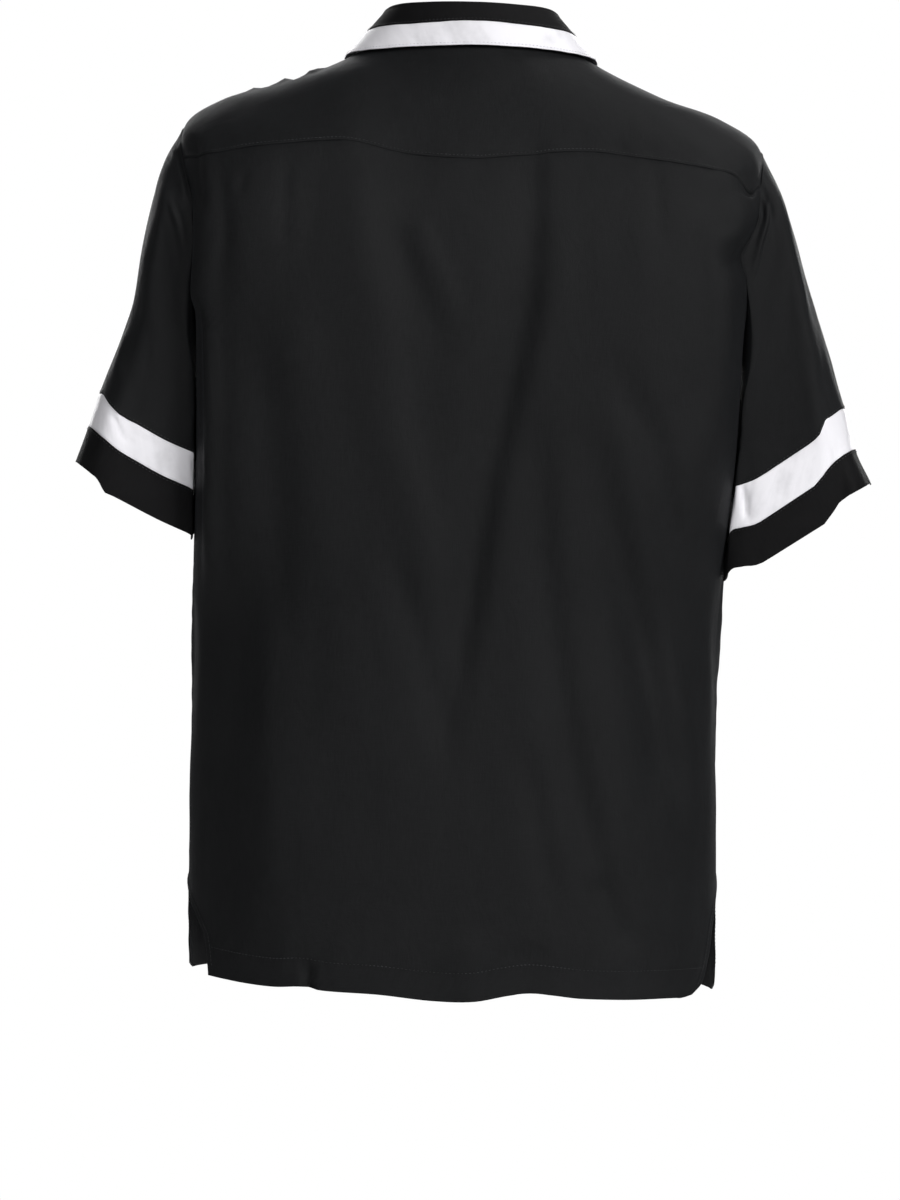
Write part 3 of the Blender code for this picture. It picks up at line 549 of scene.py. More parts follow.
def crease_height(points, normal, creases):
    """How far these creases move the cloth out at these points."""
    moved = np.zeros(points.shape[:-1])
    for face, depth, width_top, width_end, places in creases:
        first, second, facing, side = FACES[face]
        path = curve_through(places, line(0, len(places) - 1, CREASE_STEPS * (len(places) - 1)))
        place = np.stack([points[..., first], points[..., second]], -1)
        reach = max(width_top, width_end)
        low, high = path.min(0) - reach, path.max(0) + reach
        near = ((place > low) & (place < high)).all(-1) & (normal[..., facing] * side > FACING_LEAST)
        if facing == 0:
            near &= points[..., 0] * side > 0
        if not near.any():
            continue
        place = place[near]
        start, step = path[:-1], np.diff(path, axis=0)
        away = place[:, None] - start[None]
        t = np.clip((away * step).sum(-1) / (step**2).sum(-1), 0, 1)
        distance = np.linalg.norm(away - t[..., None] * step, axis=-1)
        nearest = distance.argmin(1)
        rows = np.arange(len(place))
        along = (nearest + t[rows, nearest]) / len(step)
        step, away = step[nearest], away[rows, nearest]
        hand = np.sign(step[:, 0] * away[:, 1] - step[:, 1] * away[:, 0])
        q = distance[rows, nearest] / (width_top + (width_end - width_top) * along) * 2
        q = q * (1 - CREASE_LEAN * hand)
        across = (1 - CREASE_HOLLOW * q**2) * np.exp(-CREASE_DECAY * q**2)
        fade = smooth(along / CREASE_FADE) * smooth((1 - along) / CREASE_FADE)
        moved[near] += depth * across * fade * smooth(normal[near][:, facing] * side / FACING_FULL)
    return moved


def drape(points, height, width, length, seed):
    """Slight uneven folds, longer down the cloth than across it."""
    scale = np.array([1 / width, 1 / width, 1 / length])
    places = points.reshape(-1, 3) * scale + (seed, 0, 0)
    values = [noise.noise(Vector(place)) for place in places]
    return height * np.reshape(values, points.shape[:-1])


def body(angle, level, out=0.0):
    """Points of the middle of the body's cloth, moved out of it by out."""
    points, normal = plain_body(angle, level), body_normal(angle, level)
    level = np.broadcast_to(level, points.shape[:-1])
    strength = cloth_settings().crease_strength
    moved = crease_height(points, normal, BODY_CREASES) * strength
    calm = fade(level, *CALM)
    for height, width, length, seed, least in BODY_DRAPE:
        moved = moved + drape(points, height * strength, width, length, seed) * (1 - (1 - least) * calm)
    placket = 1 - fade(np.abs(points[..., 0]), *PLACKET_CALM)
    moved = moved * (1 - placket * smooth(-normal[..., 1] / FACING_FULL))
    pressed = fade(level, *PRESSED_LOW) * (1 - fade(level, *PRESSED_HIGH))
    pressed = pressed * fade(np.abs(normal[..., 0]), *BODY_SIDE)
    moved = moved - pressed * np.maximum(moved + SLEEVE_PRESS, 0)
    points = points + normal * (moved + out)[..., None]
    x, z, drop, reach = YOKE_CORNER
    at_back = smooth(normal[..., 1] / BACK_FACING)
    away = (points[..., 0] - x) ** 2 + (points[..., 2] - z) ** 2
    points[..., 2] -= drop * np.exp(-away / reach**2) * at_back
    for side, z, out_by, reach in ARMHOLE_PULLS:
        pull = out_by * np.exp(-(((points[..., 2] - z) / reach) ** 2)) * at_back
        points[..., 0] += side * pull * fade(side * points[..., 0], *PULLS_ACROSS)
    rise = read_table(HEM_WAVE, points[..., 0])[..., 0] * (1 - fade(level, *HEM_WAVE_UP))
    points[..., 2] += rise * at_back
    return points


def search(low, high, falls_short):
    """The place between low and high from which falls_short no longer holds."""
    for _ in range(HALVINGS):
        middle = (low + high) / 2
        short = falls_short(middle)
        low, high = np.where(short, middle, low), np.where(short, high, middle)
    return (low + high) / 2


def level_at(angle, z):
    """The level at which the body has this height, at each angle."""
    low, high = np.zeros(np.shape(angle)), np.full(np.shape(angle), float(NECK))
    return search(low, high, lambda level: plain_body(angle, level)[..., 2] < z)


def armhole(turn, tuck=0.0):
    """(angle, level) on the left armhole, or tuck degrees outside it. Turn 0 is the armpit, 90 the back."""
    turn = np.radians(np.asarray(turn, float))
    reach = np.where(np.sin(turn) > 0, ARMHOLE_BACK_REACH, ARMHOLE_FRONT_REACH) + tuck
    middle, half = (ARMPIT + SHOULDER) / 2, (SHOULDER - ARMPIT) / 2 + tuck / DEGREES_PER_LEVEL
    return np.stack([90 - reach * np.sin(turn), middle - half * np.cos(turn)], -1)


def yoke_turn(side):
    """Turn of the armhole where the yoke's back seam meets it; side is 1 for the left, -1 for the right."""
    def below_seam(turn):
        angle, level = armhole(turn)
        return plain_body(side * angle, level)[2] <= read_table(YOKE_SEAM, side * angle)[0]

    return search(90.0, 178.0, below_seam)


def armhole_turns(side):
    """Turns of the armhole at which the back, the yoke and the front have their points."""
    yoke = yoke_turn(side)
    front = 180 + math.degrees(math.asin((SHOULDER_SEAM_AT_ARM - 90) / ARMHOLE_FRONT_REACH))
    return line(0, yoke, ARM_BACK), line(yoke, front, ARM_YOKE), line(front, 360, ARM_FRONT)


def ring_turns(side):
    """The same turns once round, without their repeated ends."""
    return np.concatenate([part[:-1] for part in armhole_turns(side)])


def closer_at_ends(steps, share=PANEL_SHARE):
    """Places from 0 to 1 that lie closer together at both ends."""
    t = line(0, 1, steps)
    return t - share * np.sin(2 * np.pi * t) / (2 * np.pi)


def patch(foot, head, start, end):
    """A grid between four edge lines. foot and head run across; start and end run up, and set the rows."""
    s = closer_at_ends(len(foot) - 1)[None, :, None]
    level = (start[:, 1] + end[:, 1]) / 2
    t = ((level - level[0]) / (level[-1] - level[0]))[:, None, None]
    across = foot[None] * (1 - t) + head[None] * t
    up = start[:, None] * (1 - s) + end[:, None] * s
    corners = (foot[0] * (1 - s) + foot[-1] * s) * (1 - t) + (head[0] * (1 - s) + head[-1] * s) * t
    return across + up - corners


def side_edges(side, towards_front):
    """Two (angle, level) edges of a panel at one side: the vent and side seam, then the armhole."""
    way = 1 if towards_front else -1
    edge = np.array(VENT_EDGE[0 if towards_front else side])
    inward = np.interp(SIDE_LEVELS, edge[:, 0], edge[:, 1])
    lap = SIDE_LAP * fade(SIDE_LEVELS, *LAP_UP)
    seam = np.stack([90 + way * (inward - lap), SIDE_LEVELS], -1)
    back_turns, _, front_turns = armhole_turns(side)
    arm = armhole(front_turns[::-1] if towards_front else back_turns)
    arm[0] = seam[-1]
    return seam * (side, 1), arm * (side, 1)


def panel(lower, upper, head):
    """A grid of (angle, level) between both edges of the lower part, both of the upper part and the head."""
    spread = closer_at_ends(len(head) - 1)[:, None]
    foot = lower[0][0] * (1 - spread) + lower[1][0] * spread
    chest = lower[0][-1] * (1 - spread) + lower[1][-1] * spread
    above = patch(chest, head, *upper)
    even = line(ARMPIT, above[-1, :, 1], len(above) - 1)  # levels of evenly spaced rows
    inner = smooth(np.minimum(spread, 1 - spread) / UNEVEN_SHARE)[:, 0]
    above[..., 1] += (even - above[..., 1]) * inner
    return np.concatenate([patch(foot, chest, *lower)[:-1], above])


def back_cut():
    """(angle, level) of the back's points."""
    right, right_arm = side_edges(-1, False)
    left, left_arm = side_edges(1, False)
    spread = closer_at_ends(BACK_COLUMNS)
    angles = right_arm[-1, 0] + (left_arm[-1, 0] - right_arm[-1, 0]) * spread
    under = level_at(angles, read_table(YOKE_SEAM, angles)[..., 0]) + UNDER_LAP
    head = np.stack([angles, under], -1)
    right_arm[-1], left_arm[-1] = head[0], head[-1]
    return panel((right, left), (right_arm, left_arm), head)


def yoke_cut():
    """(angle, level) of the yoke's points: the first row runs along the armholes and the back seam."""
    left, right = armhole(armhole_turns(1)[1]), armhole(armhole_turns(-1)[1])[::-1] * (-1, 1)
    angles = line(right[-1, 0], left[0, 0], BACK_COLUMNS)
    seam = np.stack([angles, level_at(angles, read_table(YOKE_SEAM, angles)[..., 0])], -1)
    outer = np.concatenate([right[:-1], seam, left[1:]])
    end = SHOULDER_SEAM_AT_NECK
    corners = [0, ARM_YOKE, ARM_YOKE + BACK_COLUMNS, len(outer) - 1]
    neck = np.interp(np.arange(len(outer)), corners, [-end, -YOKE_BACK_AT_NECK, YOKE_BACK_AT_NECK, end])
    inner = np.stack([neck, np.full(len(outer), float(NECK))], -1)
    spread = closer_at_ends(YOKE_ROWS)[:, None, None]
    return outer * (1 - spread) + inner * spread


def front_edge(side, levels):
    """(angle, level) up a front's free edge, which lies FRONT_LAP past the middle."""
    row = body_row(levels)
    past_middle = np.degrees(np.arcsin((FRONT_LAP + side * row["shift"]) / row["half"]))
    return np.stack([side * (180 + past_middle), levels], -1)


def front_panel(side):
    """Points of a front. side is 1 for the wearer's left one, which lies on top, and -1 for the right one."""
    outer, arm = side_edges(side, True)
    inner = front_edge(side, outer[:, 1])
    inner_above = front_edge(side, line(ARMPIT, NECK, len(arm) - 1))
    arm[-1, 0] -= side * FRONT_UNDER_LAP
    neck_corner = np.array([side * (SHOULDER_SEAM_AT_NECK - FRONT_UNDER_LAP), NECK])
    head = np.concatenate([
        line(arm[-1], neck_corner, SHOULDER_COLUMNS)[:-1],
        line(neck_corner, inner_above[-1], FRONT_COLUMNS - SHOULDER_COLUMNS),
    ])
    grid = panel((outer, inner), (arm, inner_above), head)
    points = body(grid[..., 0], grid[..., 1])
    from_middle = side * points[..., 0]
    out = side * FRONT_OUT * (1 - fade(from_middle, *FRONT_LAP_OUT))
    return points + body_normal(grid[..., 0], grid[..., 1]) * out[..., None]


def side_wall(side, y, z):
    """Distance out to the body's cloth at its left or right side, at these depths and heights."""
    level = level_at(np.full(np.shape(z), side * 90.0), z)
    row = body_row(level)
    in_front = y < row["side_y"]
    square = np.where(in_front, row["front_square"], row["back_square"])
    share = np.clip(np.abs(y - row["side_y"]) / np.where(in_front, row["front"], row["back"]), 0, 1)
    return row["half"] * (1 - share**square) ** (1 / square) + side * row["shift"]


def sleeve_rings(side):
    """One ring of points for each section of a sleeve, the armhole first."""
    turns = ring_turns(side)
    angle, level = armhole(turns).T
    rings = [body(side * angle, level, SEAM_OUT)]
    s, c = np.sin(np.radians(turns)), np.cos(np.radians(turns))
    outside, inside = SLEEVE_SQUARE[side]
    square = outside + (inside - outside) * (1 + c) / 2 * np.where(s > 0, 1, FRONT_SQUARE)
    around = np.sign(s) * np.abs(s) ** (2 / square)
    to_top = (1 - np.sign(c) * np.abs(c) ** (2 / square)) / 2
    top, foot, hem = read_table(SLEEVE_WAVE[side], turns).T
    waves = (0, 0, top / 3, top, foot, hem)
    for row, wave in zip(LEFT_SLEEVE if side > 0 else RIGHT_SLEEVE, waves):
        row = dict(zip(SLEEVE_COLUMNS, row))
        x = row["under_x"] + (row["top_x"] - row["under_x"]) * to_top
        y = row["middle_y"] + row["depth"] * around - row["forward"] * (1 - to_top)
        z = row["under_z"] + (row["top_z"] - row["under_z"]) * to_top - row["sag"] * around + wave
        x = np.maximum(x, side_wall(side, y, z) + SLEEVE_REST)
        rings.append(np.stack([side * x, y, z], -1))
    return np.array(rings)


def grid_normals(grid, closed, flip=1):
    """Outward unit vectors at a grid's points. closed says that its rows go round a tube."""
    if closed:
        wrapped = np.concatenate([grid[:, -1:], grid, grid[:, :1]], 1)
        across = wrapped[:, 2:] - wrapped[:, :-2]
    else:
        across = np.gradient(grid, axis=1)
    return unit(np.cross(np.gradient(grid, axis=0), across)) * flip


def sleeve_grid(side, first, last, rows):
    """Rings of a sleeve from one section to another, with its creases."""
    rings = sleeve_rings(side)
    places = first + (last - first) * closer_at_ends(rows, SLEEVE_ROW_SHARE)
    whole = curve_through(rings, places)
    normal = grid_normals(whole, True, -side)
    strength = cloth_settings().crease_strength
    height = crease_height(whole, normal, SLEEVE_CREASES) * strength
    for rise, width, length, seed in SLEEVE_DRAPE:
        height += drape(whole, rise * strength, width, length, seed + side)
    height *= fade(places, *SLEEVE_FOLDS_DOWN)[:, None]
    near = crease_height(whole, normal, ARMHOLE_CREASES) * strength
    height += near * fade(places, *SEAM_FOLDS_DOWN)[:, None]
    height -= fade(-side * normal[..., 0], *SLEEVE_SIDE) * np.maximum(height, 0)
    return whole + normal * height[..., None]


def collar_profile(angle):
    """Points up the stand and over the fold, and the fall as a function of 0 at the fold to 1 at the edge."""
    side = 1 if angle >= 0 else -1
    foot = plain_body(angle, float(NECK))
    radial = unit(body_normal(angle, float(NECK)) * (1, 1, 0))
    up = np.array([0, 0, 1.0])
    foot_height, height = read_table(STAND, abs(angle))
    height += STAND_TILT * math.sin(math.radians(2 * angle)) if abs(angle) < 90 else 0
    lean = unit(up - STAND_LEAN * radial)
    start, top = foot + lean * foot_height, foot + lean * height
    centre = top + radial * FOLD_RADIUS
    turns = np.radians(FOLD_TURNS)
    arc = [centre + FOLD_RADIUS * (math.sin(turn) * up - math.cos(turn) * radial) for turn in turns]
    stand = list(line(start, top, STAND_STEPS)) + arc
    over = top + radial * 2 * FOLD_RADIUS - foot
    edge_angle, edge_level, clearance = read_table(COLLAR_EDGE, abs(angle))

    def fall(t):
        t = np.asarray(t, float)
        at_angle = angle + (side * edge_angle - angle) * t
        at_level = NECK + (edge_level - NECK) * t
        normal = body_normal(at_angle, at_level)
        on_body = plain_body(at_angle, at_level)
        return on_body + over * (1 - t)[..., None] + normal * (clearance * t)[..., None]

    return stand, fall


def collar_grids():
    """The collar from its foot to the white band, and the band."""
    collar, band = [], []
    for angle in line(-COLLAR_END, COLLAR_END, 2 * COLLAR_STEPS):
        stand, fall = collar_profile(angle)
        places = line(0.0, 1.0, FALL_STEPS)
        steps = np.linalg.norm(np.diff(fall(places), axis=0), axis=1)
        from_edge = np.append(np.cumsum(steps[::-1])[::-1], 0)
        width = read_table(COLLAR_BAND, abs(angle))[0]
        inner, outer = np.interp((width, width + TUCK), from_edge[::-1], places[::-1])
        collar.append(np.concatenate([stand, fall(inner * closer_at_ends(COLLAR_ROWS))]))
        band.append(fall(outer + (1 - outer) * closer_at_ends(COLLAR_BAND_ROWS)))
    return np.array(collar).swapaxes(0, 1), np.array(band).swapaxes(0, 1)


# ---------------------------------------------------------------- cloth
def cell_corners(grid):
    """The four corners of each cell of a grid, going round the cell."""
    return np.stack([grid[:-1, :-1], grid[:-1, 1:], grid[1:, 1:], grid[1:, :-1]], 2)


class Sheet:
    """A sheet of cloth as a grid of points in millimetres: rows run across it, from its foot to its head."""

    def __init__(self, grid, closed=False, flip=1):
        self.grid, self.closed, self.flip = grid, closed, flip
        self.measure()

    def measure(self):
        """The sheet's normals, and each point's distance along the cloth from its edges."""
        self.normal = grid_normals(self.grid, self.closed, self.flip)
        up = np.linalg.norm(np.diff(self.grid, axis=0), axis=-1)
        self.from_foot = np.concatenate([np.zeros((1, up.shape[1])), np.cumsum(up, 0)])
        self.from_head = self.from_foot[-1:] - self.from_foot
        across = np.linalg.norm(np.diff(self.grid, axis=1), axis=-1)
        self.from_start = np.concatenate([np.zeros((across.shape[0], 1)), np.cumsum(across, 1)], 1)
        self.from_end = self.from_start[:, -1:] - self.from_start

    def distance(self, edge):
        """Each point's distance from an edge; near an open sheet's foot it is the shortest way there."""
        away = getattr(self, f"from_{edge}")
        if edge == "foot" and not self.closed:
            last = len(self.grid[0]) - 1
            foot = curve_through(self.grid[0], line(0, last, FOOT_STEPS * (last + 1)))
            beyond = line(PAST_FOOT, 1, PAST_FOOT - 1)[:, None]
            before = foot[0] + beyond * unit(foot[0] - foot[1])
            after = foot[-1] + beyond[::-1] * unit(foot[-1] - foot[-2])
            foot = np.concatenate([before, foot, after])
            away = away.copy()
            for row, points in enumerate(self.grid[:NEAR_FOOT]):
                away[row] = np.linalg.norm(points[:, None] - foot[None], axis=-1).min(1)
        return away

    def move(self, height):
        """Moves the cloth out by this much at each point."""
        self.grid = self.grid + self.normal * height[..., None]
        self.measure()

    def lift(self, edge, height, reach):
        """Raises one edge, or sinks it, dying out over reach."""
        self.move(height * (1 - fade(self.distance(edge), 0, reach)))

    def pucker(self, edge, at, share, wave, reach, seed):
        """Draws the cloth into ripples of this length across a seam that lies this far from an edge."""
        away = self.distance(edge) - at
        along = self.from_start if edge in ("foot", "head") else self.from_foot
        places = np.stack([along / wave, away / (wave * RIPPLE_STRETCH)], -1)
        ripple = [noise.noise(Vector((a, b, seed))) for a, b in places.reshape(-1, 2)]
        ripple = np.reshape(ripple, along.shape)
        if self.closed:
            ripple *= smooth(np.minimum(self.from_start, self.from_end) / (2 * wave))
        self.move(cloth_settings().pucker / MM * share * ripple * np.exp(-(np.abs(away) / reach)))

    def inside(self, edge, distance, first=0, last=None):
        """A path on the cloth at this distance from an edge, and the cloth's normals along it."""
        grid, normal, away = self.grid, self.normal, self.distance(edge)
        if edge in ("start", "end"):
            grid, normal, away = grid.swapaxes(0, 1), normal.swapaxes(0, 1), away.T
        if edge in ("head", "end"):
            grid, normal, away = grid[::-1], normal[::-1], away[::-1]
        places, facing = [], []
        for column in range(grid.shape[1])[first:last]:
            row = np.searchsorted(away[:, column], distance)
            row = min(max(row, 1), len(away) - 1)
            below, above = away[row - 1, column], away[row, column]
            t = np.clip((distance - below) / (above - below), 0, 1)
            places.append(grid[row - 1, column] * (1 - t) + grid[row, column] * t)
            facing.append(normal[row - 1, column] * (1 - t) + normal[row, column] * t)
        if self.closed and edge in ("foot", "head"):
            places.append(places[0])
            facing.append(facing[0])
        return np.array(places), unit(np.array(facing))

    def faces(self):
        """The numbers of the points round each face."""
        rows, columns = self.grid.shape[:2]
        index = np.arange(rows * columns).reshape(rows, columns)
        if self.closed:
            index = np.concatenate([index, index[:, :1]], axis=1)
        return cell_corners(index)

    def laid_flat(self):
        """Each corner's place on the laid-out cloth: across it from its middle, and up it from its foot."""
        middle = self.grid.shape[1] // 2
        across, up = self.from_start - self.from_start[:, middle:middle + 1], self.from_foot
        if self.closed:
            across = np.concatenate([across, across[:, -1:] + (across[:, -1:] - across[:, -2:-1])], 1)
            up = np.concatenate([up, up[:, :1]], 1)
        return cell_corners(np.stack([across, up], -1))


def linked_object(name, mesh, material=None):
    """An object with this mesh, in the scene."""
    if material:
        mesh.materials.append(material)
    made = bpy.data.objects.new(name, mesh)
    bpy.context.scene.collection.objects.link(made)
    return made


def finish_piece(piece, *nodes):
    """Joins the piece to the shirt, in the place of these nodes."""
    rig.ride(piece, "root")
    if nodes:
        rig.replaces(piece, *nodes)


def cloth_piece(name, sheet, material, thickness, hems, node):
    """A thin sheet of cloth. Each hem is an edge, its depth and the last row that it doubles."""
    around = -1 if sheet.flip > 0 else 1
    mesh = bpy.data.meshes.new(name)
    faces = sheet.faces()[:, :, ::around].reshape(-1, 4)
    mesh.from_pydata((sheet.grid.reshape(-1, 3) * MM).tolist(), [], faces.tolist())
    mesh.shade_smooth()
    loops = sheet.laid_flat()[:, :, ::around] * MM
    mesh.uv_layers.new(name="Cloth").data.foreach_set("uv", loops.reshape(-1))
    piece = linked_object(name, mesh, material)

    doubled = np.zeros(sheet.grid.shape[:2])
    for edge, depth, last in hems:
        turned = 1 - fade(sheet.distance(edge), depth - HEM_STEP / 2, HEM_STEP)
        turned[last:] = 0
        doubled = np.maximum(doubled, turned)
    group = piece.vertex_groups.new(name="Hem")
    for number, weight in enumerate(0.5 + 0.5 * doubled.reshape(-1)):
        group.add([number], float(weight), "REPLACE")
    wall = piece.modifiers.new("Cloth", "SOLIDIFY")
    wall.thickness = 2 * thickness
    wall.offset = 0
    wall.vertex_group = "Hem"
    finish_piece(piece, node)
    return piece


# ---------------------------------------------------------------- node trees
class Wire:
    """A value in a node tree, so that its maths can be written as Python."""

    def __init__(self, nodes, socket):
        self.nodes, self.socket = nodes, socket

    def math(self, operation, *values):
        return self.nodes.node("ShaderNodeMath", {"operation": operation}, dict(enumerate(values)))

    def __add__(self, other):
        return self.math("ADD", self, other)

    __radd__ = __add__

    def __mul__(self, other):
        return self.math("MULTIPLY", self, other)

    __rmul__ = __mul__

    def __sub__(self, other):
        return self.math("SUBTRACT", self, other)

    def __rsub__(self, other):
        return self.math("SUBTRACT", other, self)

    def sine(self):
        return self.math("SINE", self)

    def over(self, low, high):
        """0 below low, 1 above high, and smooth between them."""
        return self.nodes.node(
            "ShaderNodeMapRange", {"interpolation_type": "SMOOTHSTEP"}, {0: self, 1: low, 2: high}
        )


class Nodes:
    """A node tree, and the one way in which nodes are added to it."""

    def __init__(self, tree):
        self.tree = tree

    def plug(self, socket, value):
        """Links a wire to a socket, or fills the socket with a plain value."""
        if isinstance(value, Wire):
            self.tree.links.new(value.socket, socket)
        else:
            socket.default_value = value

    def node(self, kind, settings=None, inputs=None, output=0):
        """A node of this type, with its settings made first and then its sockets filled or linked."""
        made = self.tree.nodes.new(kind)
        for name, value in (settings or {}).items():
            setattr(made, name, value)
        for socket, value in (inputs or {}).items():
            self.plug(made.inputs[socket], value)
        if output is None:
            return [Wire(self, socket) for socket in made.outputs]
        return Wire(self, made.outputs[output])


# ---------------------------------------------------------------- materials
class Look(Nodes):
    """A material: its node tree, its shader and the constants on the shader's own sockets."""

    def __init__(self, name, **constants):
        self.material = bpy.data.materials.new(name)
        self.material.use_nodes = True
        super().__init__(self.material.node_tree)
        self.shader = self.tree.nodes["Principled BSDF"]
        for socket, value in constants.items():
            self.shader.inputs[socket.replace("_", " ")].default_value = value

    def place(self, stretch=(1, 1, 1), uv=False):
        """A place on the piece in metres, or on the laid-out cloth, with each axis stretched."""
        kind = self.node("ShaderNodeTexCoord", output="UV" if uv else "Object")
        return self.node("ShaderNodeMapping", {}, {"Vector": kind, "Scale": stretch})

    def parts(self, place):
        """The three numbers of a place."""
        return self.node("ShaderNodeSeparateXYZ", {}, {0: place}, None)

    def noise(self, place, scale, detail=2.0, roughness=0.5, distortion=0.0):
        """Soft random spots, this many to a metre."""
        return self.node("ShaderNodeTexNoise", {}, {
            "Vector": place, "Scale": scale, "Detail": detail, "Roughness": roughness,
            "Distortion": distortion,
        })

    def weave(self, across, up, pitch):
        """Height of a plain weave whose threads lie this far apart, from 0 to 1."""
        turn = 2 * math.pi / pitch
        warp, weft = (across * turn).sine(), (up * turn).sine()
        return (warp * weft) * 0.5 + 0.5

    def tone(self, factor, colour, dark, light):
        """The colour, from this much darker to this much lighter."""
        first, second = ((*(channel * shade for channel in colour), 1.0) for shade in (dark, light))
        return self.node("ShaderNodeMix", {"data_type": "RGBA"}, {0: factor, 6: first, 7: second}, 2)

    def finish(self, colour, roughness, height, relief):
        """Links what varies over the piece; height is in metres once it is multiplied by relief."""
        bump = self.node("ShaderNodeBump", {}, {"Strength": 1.0, "Distance": relief, "Height": height})
        for socket, value in (("Base Color", colour), ("Roughness", roughness), ("Normal", bump)):
            self.plug(self.shader.inputs[socket], value)
        return self.material


def made_once(function):
    """Each material is made the first time that a piece asks for it."""
    def find():
        name = function.__name__
        return bpy.data.materials.get(name) or function(name)
    return find


@made_once
def black_viscose(name):
    """Soft matt viscose with a faint bloom, slightly slubbed down the cloth."""
    settings = cloth_settings()
    look = Look(
        name, Sheen_Weight=settings.body_sheen, Sheen_Roughness=0.42, Sheen_Tint=(0.86, 0.9, 1.0, 1.0),
        Specular_IOR_Level=0.11,
    )
    across, up, _ = look.parts(look.place(uv=True))
    slub = look.noise(look.place((1, 0.05, 1), uv=True), 1500.0)
    cross_slub = look.noise(look.place((0.06, 1, 1), uv=True), 1300.0)
    cloud = look.noise(look.place(), 14.0, 3.0, 0.55)
    crumple = look.noise(look.place((1, 1, 0.45)), 42.0, 4.0, 0.6, 0.6)
    threads = look.weave(across, up, 0.00055)
    mottle_and_painted_shade = slub * 0.45 + cross_slub * 0.3 + cloud * 0.25
    height = threads * 0.05 + slub * 0.07 + cross_slub * 0.05 + crumple * 0.55 + cloud * 0.4
    return look.finish(
        look.tone(mottle_and_painted_shade.over(0.36, 0.66), settings.body_colour, 0.8, 1.22),
        0.46 + cloud * 0.14 + slub * 0.08, height, 0.0011,
    )


@made_once
def trim_weave(name):
    """Denser black cloth of the collar and the cuffs, a shade deeper than the body."""
    settings = cloth_settings()
    look = Look(
        name, Sheen_Weight=settings.trim_sheen, Sheen_Roughness=0.4, Sheen_Tint=(0.9, 0.92, 1.0, 1.0),
        Specular_IOR_Level=0.08,
    )
    across, up, _ = look.parts(look.place(uv=True))
    slub = look.noise(look.place((1, 0.06, 1), uv=True), 1700.0)
    cloud = look.noise(look.place(), 24.0, 3.0, 0.55)
    threads = look.weave(across, up, 0.0005)
    return look.finish(
        look.tone((slub * 0.5 + cloud * 0.5).over(0.36, 0.64), settings.trim_colour, 0.8, 1.3),
        0.56 + cloud * 0.12, threads * 0.06 + slub * 0.06 + cloud * 0.35, 0.0009,
    )


@made_once
def satin_ribbon(name):
    """Smooth white satin ribbon: fine floats across it and soft creases from pressing, with painted shade of its
    wrinkles in its colour.
    """
    look = Look(
        name, Sheen_Weight=0.12, Sheen_Roughness=0.3, Sheen_Tint=(0.96, 0.95, 1.0, 1.0),
        Specular_IOR_Level=0.55, Coat_Roughness=0.32, Coat_Weight=0.1,
    )
    across, up, _ = look.parts(look.place(uv=True))
    slanted = look.node("ShaderNodeCombineXYZ", {}, {"X": across + up * 0.5, "Y": up * 0.3})
    floats = look.noise(look.place((0.05, 1, 1), uv=True), 2400.0)
    creases = look.noise(slanted, 60.0, distortion=0.5)
    cloud = look.noise(look.place(uv=True), 45.0, 3.0, 0.6)
    shadows = look.noise(slanted, 24.0, distortion=0.4)
    # painted shade: the crease and shadow noise darken the satin's colour by up to about a fifth, where its wrinkles
    # would lie in shade
    mottle_and_painted_shade = creases * 0.2 + cloud * 0.3 + shadows * 0.5
    height = floats * 0.03 + creases * 0.35 + cloud * 0.25 + shadows * 0.8
    return look.finish(
        look.tone(mottle_and_painted_shade.over(0.32, 0.54), cloth_settings().band_colour, 0.78, 1.04),
        0.3 + floats * 0.1 + creases * 0.08, height, 0.0017,
    )


def thread_look(name, colour, roughness, painted_highlight_patchiness):
    """Twisted thread; its colour is painted lighter over some runs of stitches, a painted highlight where they catch
    the light, and darker over others, a painted shade where they sink in the cloth.
    """
    look = Look(name, Sheen_Weight=0.2, Sheen_Roughness=0.3, Specular_IOR_Level=0.4)
    twist = look.noise(look.place(), 2600.0)
    patch = look.noise(look.place(), 17.0, roughness=0.6)
    # painted highlight and shade: the patch noise lightens the colour of some runs of stitches and darkens others
    brightness = twist * 0.6 + (patch - 0.5) * painted_highlight_patchiness + 0.2
    tone = look.tone(brightness.over(0.35, 0.75), colour, 0.4, 1.8)
    return look.finish(tone, roughness + twist * 0.1, twist, 0.00006)


@made_once
def black_thread(name):
    return thread_look(name, stitch_settings().black_thread, 0.42, 2.4)


@made_once
def white_thread(name):
    return thread_look(name, stitch_settings().white_thread, 0.4, 0.0)


@made_once
def button_black(name):
    """Polished dark polyester button with a faint cloudy figure and fine turning marks."""
    look = Look(name, Specular_IOR_Level=0.5, Coat_Weight=0.25, Coat_Roughness=0.12)
    figure = look.noise(look.place((1, 1, 0.6)), 260.0, 4.0, 0.6, 1.5)
    scuffs = look.noise(look.place(), 1500.0, 3.0, 0.6)
    tone = look.tone(figure.over(0.4, 0.68), button_settings().colour, 0.7, 2.0)
    return look.finish(tone, 0.2 + scuffs * 0.16, scuffs * 0.6 + figure * 0.4, 0.00004)


@made_once
def pale_floor(name):
    """Matt floor with faint dust."""
    look = Look(name, Specular_IOR_Level=0.2)
    dust = look.noise(look.place(), 3.0, 3.0)
    return look.finish(look.tone(dust.over(0.3, 0.7), (1, 1, 1), 0.80, 0.83), 0.7 + dust * 0.1, dust, 0.0002)


